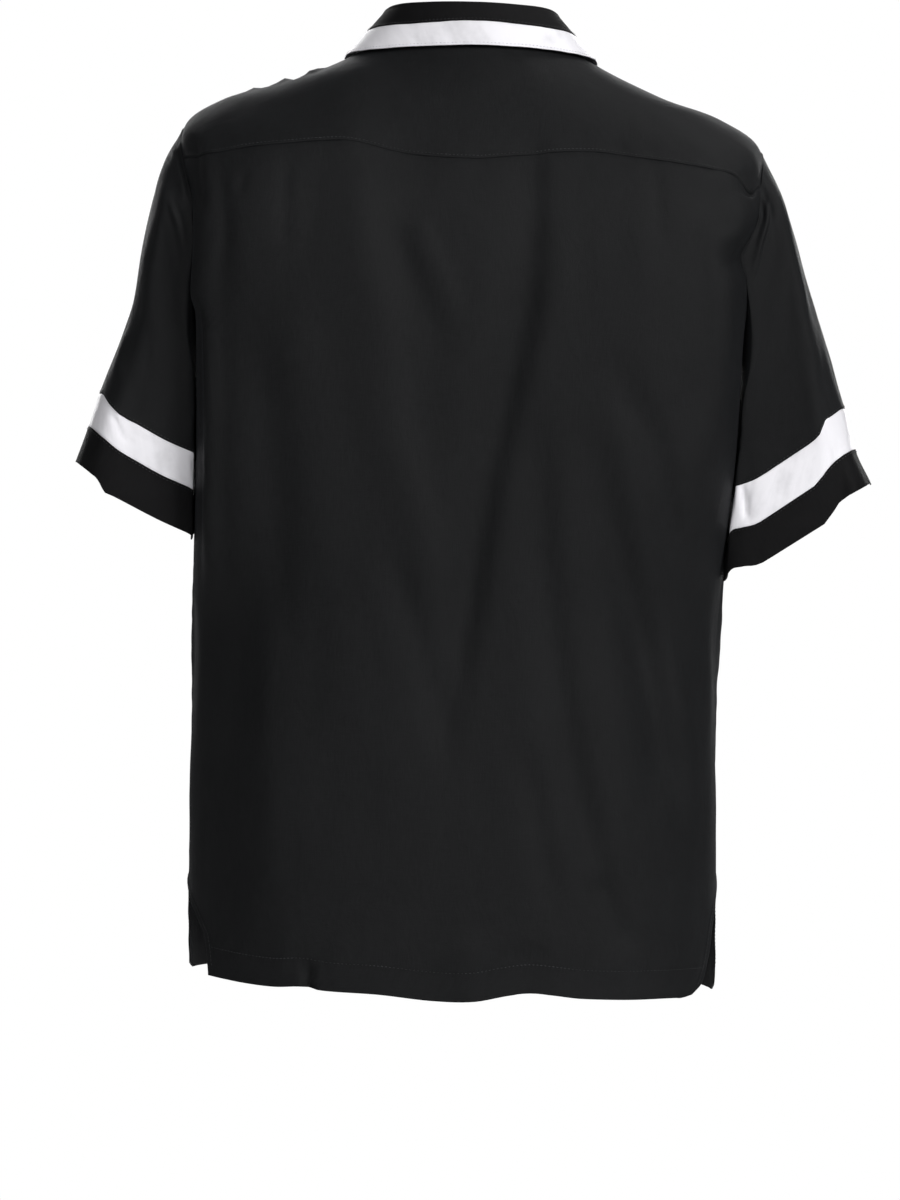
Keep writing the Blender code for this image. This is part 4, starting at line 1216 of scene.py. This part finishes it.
# ---------------------------------------------------------------- stitching
def stitch_tree():
    """Geometry nodes that lay a thread stitch at each step along a path on the cloth."""
    tree = bpy.data.node_groups.get("Stitches Along a Path")
    if tree:
        return tree
    tree = bpy.data.node_groups.new("Stitches Along a Path", "GeometryNodeTree")
    for name, kind, default in (
        ("Geometry", "Geometry", None), ("Stitch Length", "Float", 0.0022), ("Gap", "Float", 0.0008),
        ("Thread Width", "Float", 0.0004), ("Turn", "Float", 0.0), ("Seed", "Int", 7),
        ("Thread", "Material", None),
    ):
        socket = tree.interface.new_socket(name, in_out="INPUT", socket_type="NodeSocket" + kind)
        if default is not None:
            socket.default_value = default
    tree.interface.new_socket("Geometry", in_out="OUTPUT", socket_type="NodeSocketGeometry")

    node = Nodes(tree).node
    given = {wire.socket.name: wire for wire in node("NodeGroupInput", output=None)}
    path = node("GeometryNodeMeshToCurve", {}, {"Mesh": given["Geometry"]})
    pitch = given["Stitch Length"] + given["Gap"]
    steps = node("GeometryNodeResampleCurve", {"mode": "LENGTH"}, {"Curve": path, "Length": pitch})
    tangent = node("GeometryNodeInputTangent")
    facing = node(
        "GeometryNodeInputNamedAttribute", {"data_type": "FLOAT_VECTOR"}, {"Name": "facing"}, "Attribute"
    )
    along = node("FunctionNodeAlignRotationToVector", {"axis": "X"}, {"Vector": tangent})
    upright = node(
        "FunctionNodeAlignRotationToVector", {"axis": "Z", "pivot_axis": "X"},
        {"Rotation": along, "Vector": facing},
    )
    turn = node("ShaderNodeCombineXYZ", {}, {"Z": given["Turn"]})
    turned = node(
        "FunctionNodeRotateRotation", {"rotation_space": "LOCAL"}, {"Rotation": upright, "Rotate By": turn}
    )
    uneven = node(
        "FunctionNodeRandomValue", {"data_type": "FLOAT"},
        {"Min": 0.42, "Max": 0.53, "Seed": given["Seed"]}, "Value",
    )
    thick = given["Thread Width"] * 0.5
    size = node("ShaderNodeCombineXYZ", {}, {"X": given["Stitch Length"] * uneven, "Y": thick, "Z": thick})
    ball = node("GeometryNodeMeshUVSphere", {}, {"Segments": 7, "Rings": 5, "Radius": 1.0})
    laid = node(
        "GeometryNodeInstanceOnPoints", {},
        {"Points": steps, "Instance": ball, "Rotation": turned, "Scale": size},
    )
    real = node("GeometryNodeRealizeInstances", {}, {"Geometry": laid})
    soft = node("GeometryNodeSetShadeSmooth", {}, {"Geometry": real})
    done = node("GeometryNodeSetMaterial", {}, {"Geometry": soft, "Material": given["Thread"]})
    node("NodeGroupOutput", {}, {"Geometry": done}, None)
    return tree


def stitches(name, paths, thread, rise, sizes=None):
    """One mesh of stitches along these paths; each path is its points and the cloth's normals there."""
    settings = stitch_settings()
    values = {
        "Stitch Length": settings.stitch_length, "Gap": settings.stitch_gap,
        "Thread Width": settings.thread_width, "Turn": 0.0, "Thread": thread, **(sizes or {}),
    }
    points, facing, edges = [], [], []
    for places, normals in paths:
        first = len(points)
        points.extend((places * MM + normals * rise).tolist())
        facing.extend(normals.tolist())
        edges.extend((number, number + 1) for number in range(first, len(points) - 1))
    mesh = bpy.data.meshes.new(name)
    mesh.from_pydata(points, edges, [])
    mesh.attributes.new("facing", "FLOAT_VECTOR", "POINT").data.foreach_set("vector", np.ravel(facing))
    path = linked_object(name + "_path", mesh)
    modifier = path.modifiers.new("Stitches", "NODES")
    modifier.node_group = stitch_tree()
    for item in modifier.node_group.interface.items_tree:
        if item.in_out == "INPUT" and item.name in values:
            modifier[item.identifier] = values[item.name]
    made = bpy.data.meshes.new_from_object(path.evaluated_get(bpy.context.evaluated_depsgraph_get()))
    bpy.data.objects.remove(path, do_unlink=True)
    if not made.vertices:
        raise RuntimeError(f"{name}: no stitch was laid")
    made.name = name
    piece = linked_object(name, made)
    finish_piece(piece)
    return piece


# ---------------------------------------------------------------- sizes and colours
def length_of(name, description, default, least):
    return FloatProperty(name=name, description=description, default=default, min=least, unit="LENGTH")


def amount_of(name, description, default, **limits):
    return FloatProperty(name=name, description=description, default=default, min=0.0, **limits)


def colour_of(name, description, default):
    return FloatVectorProperty(
        name=name, description=description, default=default, size=3, subtype="COLOR", min=0.0, max=1.0
    )


class ShirtClothSettings(bpy.types.PropertyGroup):
    thickness: length_of("Cloth", "Thickness of the body's cloth", 0.0006, 0.0002)
    trim_thickness: length_of("Trim", "Thickness of the collar, bands and cuffs", 0.0008, 0.0002)
    hem_depth: length_of("Hem", "Depth of the turned-up hem", 0.0225, 0.005)
    vent_hem: length_of("Vent Hem", "Depth of the hem along the side vents", 0.007, 0.003)
    crease_strength: amount_of("Creases", "How deep the folds and creases are", 1.0, max=1.5)
    pucker: length_of("Pucker", "Height of the ripples along the seams", 0.0005, 0.0)
    body_colour: colour_of("Body", "Colour of the body and sleeves", (0.0072, 0.0075, 0.0081))
    trim_colour: colour_of("Collar and Cuffs", "Colour of the collar and cuffs", (0.0052, 0.0051, 0.0055))
    band_colour: colour_of("Bands", "Colour of the satin bands", (0.80, 0.79, 0.825))
    body_sheen: amount_of("Body Sheen", "Bloom of the body's cloth", 0.02, max=1.0, subtype="FACTOR")
    trim_sheen: amount_of("Trim Sheen", "Bloom of the collar and cuffs", 0.0, max=1.0, subtype="FACTOR")


class ShirtStitchSettings(bpy.types.PropertyGroup):
    stitch_length: length_of("Stitch", "Length of a stitch", 0.0017, 0.0005)
    stitch_gap: length_of("Gap", "Gap between two stitches", 0.0013, 0.0001)
    thread_width: length_of("Thread", "Width of the thread", 0.0004, 0.0001)
    yoke_topstitch: length_of(
        "Yoke Topstitch", "Distance of the topstitch from the yoke's seam", 0.0023, 0.001
    )
    edge_topstitch: length_of("Edge Topstitch", "Distance of a topstitch from a finished edge", 0.005, 0.001)
    placket_width: length_of("Placket", "Width of the placket between its topstitches", 0.030, 0.015)
    black_thread: colour_of("Black Thread", "Colour of the thread in the black cloth", (0.024, 0.025, 0.027))
    white_thread: colour_of("White Thread", "Colour of the thread in the bands", (0.70, 0.69, 0.73))


class ShirtButtonSettings(bpy.types.PropertyGroup):
    radius: length_of("Radius", "Radius of a button", 0.0056, 0.003)
    thickness: length_of("Thickness", "Thickness of a button's rim", 0.0024, 0.001)
    hole_radius: length_of("Hole", "Radius of a sewing hole", 0.0008, 0.0003)
    hole_spacing: length_of("Hole Spacing", "Distance of the holes from the button's middle", 0.0019, 0.001)
    buttonhole_length: length_of("Buttonhole", "Length of a buttonhole", 0.015, 0.008)
    colour: colour_of("Colour", "Colour of the buttons", (0.0075, 0.0075, 0.0085))


class ShirtStageSettings(bpy.types.PropertyGroup):
    key_power: amount_of("Key", "Power of the key light", 92.0, unit="POWER")
    fill_power: amount_of("Fill", "Power of the fill light", 48.0, unit="POWER")
    surroundings_light: amount_of("Surroundings Light", "Light of the white surroundings on the shirt", 0.14)
    surroundings: amount_of("Surroundings", "Brightness of the white surroundings", 1.0)


def cloth_settings():
    return bpy.context.scene.shirt_cloth


def stitch_settings():
    return bpy.context.scene.shirt_stitching


def button_settings():
    return bpy.context.scene.shirt_buttons


# ---------------------------------------------------------------- pieces
SIDES = ((1, "left"), (-1, "right"))
VENT_ROWS = int(np.searchsorted(SIDE_LEVELS, VENT_TOP))
HEM_SEAM_ROW = len(HEM_LEVELS) - 3
STITCH_RISE = 0.00004  # how far a topstitch lies above the cloth, in metres
BAND_SHARE, CUFF_SHARE = 1 / 1.6, 1 / 1.4  # of the trim's thickness, on the sleeves
FLAT = {  # width and length that each piece was cut to, and its area where it isn't a rectangle, in metres
    "back": (0.60, 0.71, 0.33),
    "yoke": (0.49, 0.22, 0.07),
    "front_left": (0.31, 0.78, 0.20),
    "front_right": (0.305, 0.78, 0.193),
    "sleeve_left": (0.50, 0.22, 0.062),
    "sleeve_right": (0.50, 0.22, 0.064),
    "sleeve_band_left": (0.40, 0.030, None),
    "sleeve_band_right": (0.45, 0.031, None),
    "sleeve_cuff_left": (0.43, 0.029, None),
    "sleeve_cuff_right": (0.44, 0.029, None),
    "collar": (0.46, 0.06, 0.02),
    "collar_band": (0.59, 0.0235, None),
}


def hem_corner(sheet, inset):
    """The column at which the hem's topstitch meets the one that runs up the vent."""
    return int(np.searchsorted(sheet.from_start[HEM_SEAM_ROW], inset))


def sew(name, sheet, slot, look, thickness, hems=(), lines=(), above=0.0, thread=black_thread, also=()):
    """Makes the cloth in a node's place, with its lines of stitches, and says what size it was cut to."""
    piece = cloth_piece(name + "_cloth", sheet, look(), thickness, hems, name)
    sewn = []
    if lines:
        paths = [sheet.inside(*place) for place in lines]
        sewn.append(stitches(name + "_stitching", paths, thread(), thickness + above))
    sewn.extend(make(sheet) for make in also)
    width, height, area = FLAT[name]
    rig.slot(piece, slot)
    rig.sheet(piece, flat=(width, height), held="draped", rests_on=(), area=area, with_pieces=sewn)


class ShirtBack(bpy.types.Operator):
    """Make the back panel, with its hem, side vents and stitching"""

    bl_idname = "shirt.back"
    bl_label = "Back"

    def execute(self, context):
        cloth = cloth_settings()
        hem, vent, inset = cloth.hem_depth / MM, cloth.vent_hem / MM, stitch_settings().edge_topstitch / MM
        cut = back_cut()
        sheet = Sheet(body(cut[..., 0], cut[..., 1]))
        sheet.pucker("foot", hem, 1.6, 13, 9, 1.5)
        sheet.pucker("head", 0, 1.1, 12, 10, 4.5)
        sheet.pucker("start", 0, 1.3, 13, 8, 6.5)
        sheet.pucker("end", 0, 1.3, 13, 8, 8.5)
        sheet.lift("head", -0.42, 7)
        sheet.lift("start", 0.35, 6)
        sheet.lift("end", 0.35, 6)
        hems = (("foot", hem, None), ("start", vent, VENT_ROWS), ("end", vent, VENT_ROWS))
        corner = hem_corner(sheet, inset)
        lines = (
            ("foot", hem - 1, corner, -corner), ("start", inset, 5, VENT_ROWS), ("end", inset, 5, VENT_ROWS),
        )
        sew("back", sheet, "black_cloth", black_viscose, cloth.thickness, hems, lines, STITCH_RISE)
        return {"FINISHED"}


class ShirtYoke(bpy.types.Operator):
    """Make the yoke over the shoulders, with its topstitched seams"""

    bl_idname = "shirt.yoke"
    bl_label = "Yoke"

    def execute(self, context):
        topstitch = stitch_settings().yoke_topstitch / MM
        cut = yoke_cut()
        sheet = Sheet(body(cut[..., 0], cut[..., 1]))
        sheet.pucker("foot", topstitch, 1.2, 12, 8, 21.5)
        sheet.pucker("start", topstitch, 1, 11, 7, 23.5)
        sheet.pucker("end", topstitch, 1, 11, 7, 25.5)
        edges = ("foot", "start", "end")
        for edge in edges:
            sheet.lift(edge, 0.3, 7)
        hems = tuple((edge, 4.5, None) for edge in edges)
        ends = ((ARM_YOKE + 2, -ARM_YOKE - 2), (2, None), (2, None))
        lines = [(edge, topstitch, *places) for edge, places in zip(edges, ends)]
        sew("yoke", sheet, "black_cloth", black_viscose, cloth_settings().thickness, hems, lines, STITCH_RISE)
        return {"FINISHED"}


class ShirtFronts(bpy.types.Operator):
    """Make both fronts, with the placket, hem, side vents and stitching"""

    bl_idname = "shirt.fronts"
    bl_label = "Fronts"

    def execute(self, context):
        cloth, sewing = cloth_settings(), stitch_settings()
        hem, vent, inset = cloth.hem_depth / MM, cloth.vent_hem / MM, sewing.edge_topstitch / MM
        placket = sewing.placket_width / MM
        for side, name in SIDES:
            sheet = Sheet(front_panel(side), flip=side)
            sheet.pucker("foot", hem, 1.6, 13, 9, 30.5 + side)
            sheet.pucker("start", 0, 1.3, 13, 8, 34.5 + side)
            sheet.pucker("end", placket, 0.8, 12, 6, 38.5 + side)
            sheet.lift("start", -0.35, 6)
            sheet.lift("head", -0.45, 8)
            hems = (("foot", hem, None), ("start", vent, VENT_ROWS), ("end", placket, None))
            lines = (
                ("foot", hem - 1, hem_corner(sheet, inset)), ("start", inset, 5, VENT_ROWS),
                ("end", inset, 1), ("end", placket - 1, 1),
            )
            sew(
                f"front_{name}", sheet, "black_cloth", black_viscose, cloth.thickness, hems, lines,
                STITCH_RISE, also=[buttonholes] if side > 0 else [],
            )
        return {"FINISHED"}


def front_normal(z):
    """Outward direction of the front's middle at this height."""
    level = level_at(np.array(180.0), z)
    row = body_row(level)
    return body_normal(180 + math.degrees(math.asin(row["shift"] / row["half"])), level)


def buttonholes(sheet):
    """Close stitches round the slit of each buttonhole, which runs up the placket."""
    tree = BVHTree.FromPolygons(sheet.grid.reshape(-1, 3).tolist(), sheet.faces().reshape(-1, 4).tolist())
    half = button_settings().buttonhole_length / MM / 2
    up = line(-half, half, 14)
    outline = [(-BUTTONHOLE_HALF, d) for d in up] + [(BUTTONHOLE_HALF, d) for d in up[::-1]]
    paths = []
    for z in BUTTON_HEIGHTS:
        places, facing = [], []
        for x, d in outline + outline[:1]:
            hit, normal, _, _ = tree.ray_cast(Vector((x, -400, z + d)), Vector((0, 1, 0)))
            if hit is None:
                raise RuntimeError(f"no cloth under the buttonhole at {z}")
            places.append(hit)
            facing.append(normal if normal.y < 0 else -normal)
        paths.append((np.array(places), np.array(facing)))
    rise = cloth_settings().thickness + STITCH_RISE / 2
    return stitches("buttonhole_stitching", paths, black_thread(), rise, BUTTONHOLE_STITCH)


class ShirtSleeves(bpy.types.Operator):
    """Make the two set-in sleeves down to their bands"""

    bl_idname = "shirt.sleeves"
    bl_label = "Sleeves"

    def execute(self, context):
        for side, name in SIDES:
            angle, level = armhole(ring_turns(side), HEAD_TUCK).T
            head = body(side * angle, level, HEAD_OUT)
            grid = np.concatenate([head[None], sleeve_grid(side, 0, BAND_SECTION, SLEEVE_ROWS)])
            sheet = Sheet(grid, True, -side)
            sheet.pucker("foot", 2, 1.8, 13, 16, 50.5 + side)
            sheet.pucker("head", 0, 0.9, 11, 7, 54.5 + side)
            sheet.lift("head", 0.3, 6)
            hems = (("foot", 3, None), ("head", 4, None))
            thickness = cloth_settings().thickness
            sew(f"sleeve_{name}", sheet, "black_cloth", black_viscose, thickness, hems, [("head", 1.8)])
        return {"FINISHED"}


class ShirtSleeveTrim(bpy.types.Operator):
    """Make the white satin bands and the deep black cuffs of the sleeves"""

    bl_idname = "shirt.sleeve_trim"
    bl_label = "Sleeve Bands and Cuffs"

    def execute(self, context):
        thickness = cloth_settings().trim_thickness
        tuck = TUCK / BAND_WIDTH
        for side, name in SIDES:
            grid = sleeve_grid(side, BAND_SECTION - tuck, CUFF_SECTION + tuck, BAND_ROWS)
            sheet = Sheet(grid, True, -side)
            sheet.pucker("foot", 0, 1.2, 8, 9, 60.5 + side)
            sheet.pucker("head", 0, 1.2, 9, 9, 64.5 + side)
            sheet.lift("foot", -0.45, 3.5)
            sheet.lift("head", -0.45, 3.5)
            sew(f"sleeve_band_{name}", sheet, "white_satin", satin_ribbon, thickness * BAND_SHARE)
            sheet = Sheet(sleeve_grid(side, CUFF_SECTION, HEM_SECTION, CUFF_ROWS), True, -side)
            sheet.pucker("foot", 0, 0.9, 10, 8, 70.5 + side)
            sheet.lift("foot", 0.3, 5)
            sew(
                f"sleeve_cuff_{name}", sheet, "deep_black_trim", trim_weave, thickness * CUFF_SHARE,
                [("head", 60, None)], [("foot", 1.8)],
            )
        return {"FINISHED"}


class ShirtCollar(bpy.types.Operator):
    """Make the turned-down collar and the white satin band along its edge"""

    bl_idname = "shirt.collar"
    bl_label = "Collar"

    def execute(self, context):
        thickness = cloth_settings().trim_thickness
        hems = [("head", 3, None)]
        collar, band = (Sheet(grid, flip=-1) for grid in collar_grids())
        collar.lift("head", 0.25, 4)
        sew("collar", collar, "deep_black_trim", trim_weave, thickness, hems, [("head", 1.6, 2, -2)])
        band.pucker("foot", 0, 0.9, 9, 8, 80.5)
        band.pucker("head", 0, 0.6, 9, 8, 84.5)
        band.lift("foot", -0.45, 3.5)
        sew(
            "collar_band", band, "white_satin", satin_ribbon, thickness, hems, [("head", 1.8, 2, -2)],
            thread=white_thread,
        )
        return {"FINISHED"}


class ShirtButtons(bpy.types.Operator):
    """Make the six dark buttons down the front and the thread that holds them"""

    bl_idname = "shirt.buttons"
    bl_label = "Buttons"

    def execute(self, context):
        for number, z in enumerate(BUTTON_HEIGHTS, 1):
            node = f"button_{number}"
            low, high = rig.box(node)
            middle = (Vector(low) + Vector(high)) / 2
            place = Matrix.Translation(middle) @ facing_along(Vector(front_normal(z)))
            piece, thread = turned_button(node, place)
            finish_piece(piece, node)
            finish_piece(thread)
            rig.slot(piece, "black_button")
        return {"FINISHED"}


def facing_along(direction):
    """The turn that points the Z axis this way."""
    return direction.to_track_quat("Z", "Y").to_matrix().to_4x4()


def plain_object(name, shape, material):
    """An object made of a bmesh."""
    mesh = bpy.data.meshes.new(name)
    shape.to_mesh(mesh)
    shape.free()
    return linked_object(name, mesh, material)


def turned_button(node, place):
    """A four-hole button with a rounded rim and a sunk middle, and its thread."""
    settings = button_settings()
    half = settings.thickness / 2
    shape = bmesh.new()
    ring = [shape.verts.new((settings.radius * r, 0, half * height)) for r, height in BUTTON_PROFILE]
    edges = [shape.edges.new(pair) for pair in zip(ring[:-1], ring[1:])]
    bmesh.ops.spin(
        shape, geom=ring + edges, axis=(0, 0, 1), cent=(0, 0, 0), steps=BUTTON_SEGMENTS, angle=2 * math.pi,
        use_duplicate=False, use_merge=True,
    )
    bmesh.ops.remove_doubles(shape, verts=shape.verts, dist=1e-6)
    bmesh.ops.recalc_face_normals(shape, faces=shape.faces)
    piece = plain_object(node + "_turned", shape, button_black())
    corner = Vector((settings.hole_spacing, 0, 0))
    holes = [Matrix.Rotation(math.radians(45 + 90 * number), 4, "Z") @ corner for number in range(4)]
    drill = bmesh.new()
    for hole in holes:
        bmesh.ops.create_cone(
            drill, cap_ends=True, segments=HOLE_SEGMENTS, radius1=settings.hole_radius,
            radius2=settings.hole_radius, depth=settings.thickness * 3, matrix=Matrix.Translation(hole),
        )
    bit = plain_object(node + "_drill", drill, button_black())
    cut = piece.modifiers.new("Holes", "BOOLEAN")
    cut.object = bit
    cut.solver = "EXACT"
    mesh = bpy.data.meshes.new_from_object(piece.evaluated_get(bpy.context.evaluated_depsgraph_get()))
    piece.modifiers.remove(cut)
    piece.data = mesh
    bpy.data.objects.remove(bit, do_unlink=True)
    mesh.transform(place)
    mesh.shade_smooth()
    mesh.set_sharp_from_angle(angle=BUTTON_EDGE)

    thread = bmesh.new()
    for start, end in (holes[:2], holes[2:]):
        along = (end - start).normalized()
        for shift in (-STRAND_SPACING, STRAND_SPACING):
            sideways = Vector((-along.y, along.x, 0)) * shift
            arch = [
                start.lerp(end, t) + Vector((0, 0, half * 0.28 + STRAND_ARCH * math.sin(math.pi * t) ** 0.6))
                + sideways for t in line(0, 1, STRAND_STEPS)
            ]
            for a, b in zip(arch[:-1], arch[1:]):
                bmesh.ops.create_cone(
                    thread, cap_ends=True, segments=STRAND_SEGMENTS, radius1=STRAND_RADIUS,
                    radius2=STRAND_RADIUS, depth=(b - a).length * STRAND_OVERRUN,
                    matrix=Matrix.Translation((a + b) / 2) @ facing_along(b - a),
                )
    sewn = plain_object(node + "_thread", thread, black_thread())
    sewn.data.transform(place)
    sewn.data.shade_smooth()
    return piece, sewn


# Lights: name, the setting that gives its power and its share of it, then size and place
LIGHTS = (
    ("key", "key_power", 1, 1.4, (-2.2, 2.5, 1.3)),
    ("fill", "fill_power", 1, 2.4, (0.6, 3.3, 0.9)),
    ("front", "fill_power", 0.9, 2.0, (0.7, -3.0, 0.9)),
    ("front_side", "fill_power", 0.7, 1.6, (-0.9, -3.0, 0.5)),
    ("top", "fill_power", 0.34, 1.2, (-1.3, -0.7, 2.2)),
)
LIGHTS_AIM = Vector((0, 0, -0.38))
CAMERA_PLACE = (0.0164, 3.2, -0.4446)
LENS, SENSOR = 123.1, 36  # in millimetres
FLOOR_RADIUS, FLOOR_HEIGHT = 2.6, -1.45


class ShirtStage(bpy.types.Operator):
    """Make the camera, the soft studio lights, the white surroundings and the pale floor"""

    bl_idname = "shirt.stage"
    bl_label = "Stage"

    def execute(self, context):
        scene, settings = context.scene, context.scene.shirt_stage
        scene.view_settings.view_transform = "Standard"
        eye = bpy.data.cameras.new("camera")
        eye.lens, eye.sensor_width = LENS, SENSOR
        camera = bpy.data.objects.new("camera", eye)
        camera.location = CAMERA_PLACE
        camera.rotation_euler = (math.pi / 2, 0, math.pi)
        scene.collection.objects.link(camera)
        scene.camera = camera

        for name, power, share, size, place in LIGHTS:
            lamp = bpy.data.lights.new(name, "AREA")
            lamp.energy, lamp.size = getattr(settings, power) * share, size
            light = bpy.data.objects.new(name, lamp)
            light.location = place
            light.rotation_euler = (LIGHTS_AIM - Vector(place)).to_track_quat("-Z", "Y").to_euler()
            scene.collection.objects.link(light)

        world = bpy.data.worlds.new("surroundings")
        world.use_nodes = True
        scene.world = world
        nodes, made = Nodes(world.node_tree), world.node_tree.nodes
        made.remove(made["Background"])
        lit, seen = (
            nodes.node("ShaderNodeBackground", {}, {"Color": (1, 1, 1, 1), "Strength": strength})
            for strength in (settings.surroundings_light, settings.surroundings)
        )
        by_camera = nodes.node("ShaderNodeLightPath", output="Is Camera Ray")
        surface = nodes.node("ShaderNodeMixShader", {}, {0: by_camera, 1: lit, 2: seen})
        nodes.plug(made["World Output"].inputs["Surface"], surface)

        shape = bmesh.new()
        bmesh.ops.create_circle(shape, cap_ends=True, segments=96, radius=FLOOR_RADIUS)
        floor = plain_object("floor", shape, pale_floor())
        floor.data.transform(Matrix.Translation((0, 0, FLOOR_HEIGHT)))
        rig.stage(floor)
        return {"FINISHED"}


PIECES = (
    ShirtBack, ShirtYoke, ShirtFronts, ShirtSleeves, ShirtSleeveTrim, ShirtCollar, ShirtButtons, ShirtStage,
)
SETTINGS = {
    "shirt_cloth": ShirtClothSettings,
    "shirt_stitching": ShirtStitchSettings,
    "shirt_buttons": ShirtButtonSettings,
    "shirt_stage": ShirtStageSettings,
}


class ShirtPanel(bpy.types.Panel):
    """Sizes and colours of the shirt, and a button for each of its pieces"""

    bl_idname = "VIEW3D_PT_shirt"
    bl_label = "Waiter Shirt"
    bl_space_type = "VIEW_3D"
    bl_region_type = "UI"
    bl_category = "Shirt"

    def draw(self, context):
        for name, group in SETTINGS.items():
            box = self.layout.box()
            box.label(text=name.removeprefix("shirt_").title())
            for field in group.__annotations__:
                box.prop(getattr(context.scene, name), field)
        for piece in PIECES:
            self.layout.operator(piece.bl_idname)


def register():
    for name, group in SETTINGS.items():
        bpy.utils.register_class(group)
        setattr(bpy.types.Scene, name, PointerProperty(type=group))
    for piece in (*PIECES, ShirtPanel):
        bpy.utils.register_class(piece)


def unregister():
    for piece in (ShirtPanel, *reversed(PIECES)):
        bpy.utils.unregister_class(piece)
    for name, group in SETTINGS.items():
        delattr(bpy.types.Scene, name)
        bpy.utils.unregister_class(group)


def main():
    register()
    for piece in PIECES:
        group, name = piece.bl_idname.split(".")
        getattr(getattr(bpy.ops, group), name)()
    boxes = {"cad": CAD_BOX, "visual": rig.bounds()}
    with open(SIZE_FILE, "w") as out:
        json.dump({name: [[float(v) for v in corner] for corner in box] for name, box in boxes.items()}, out)


if __name__ == "__main__":
    main()
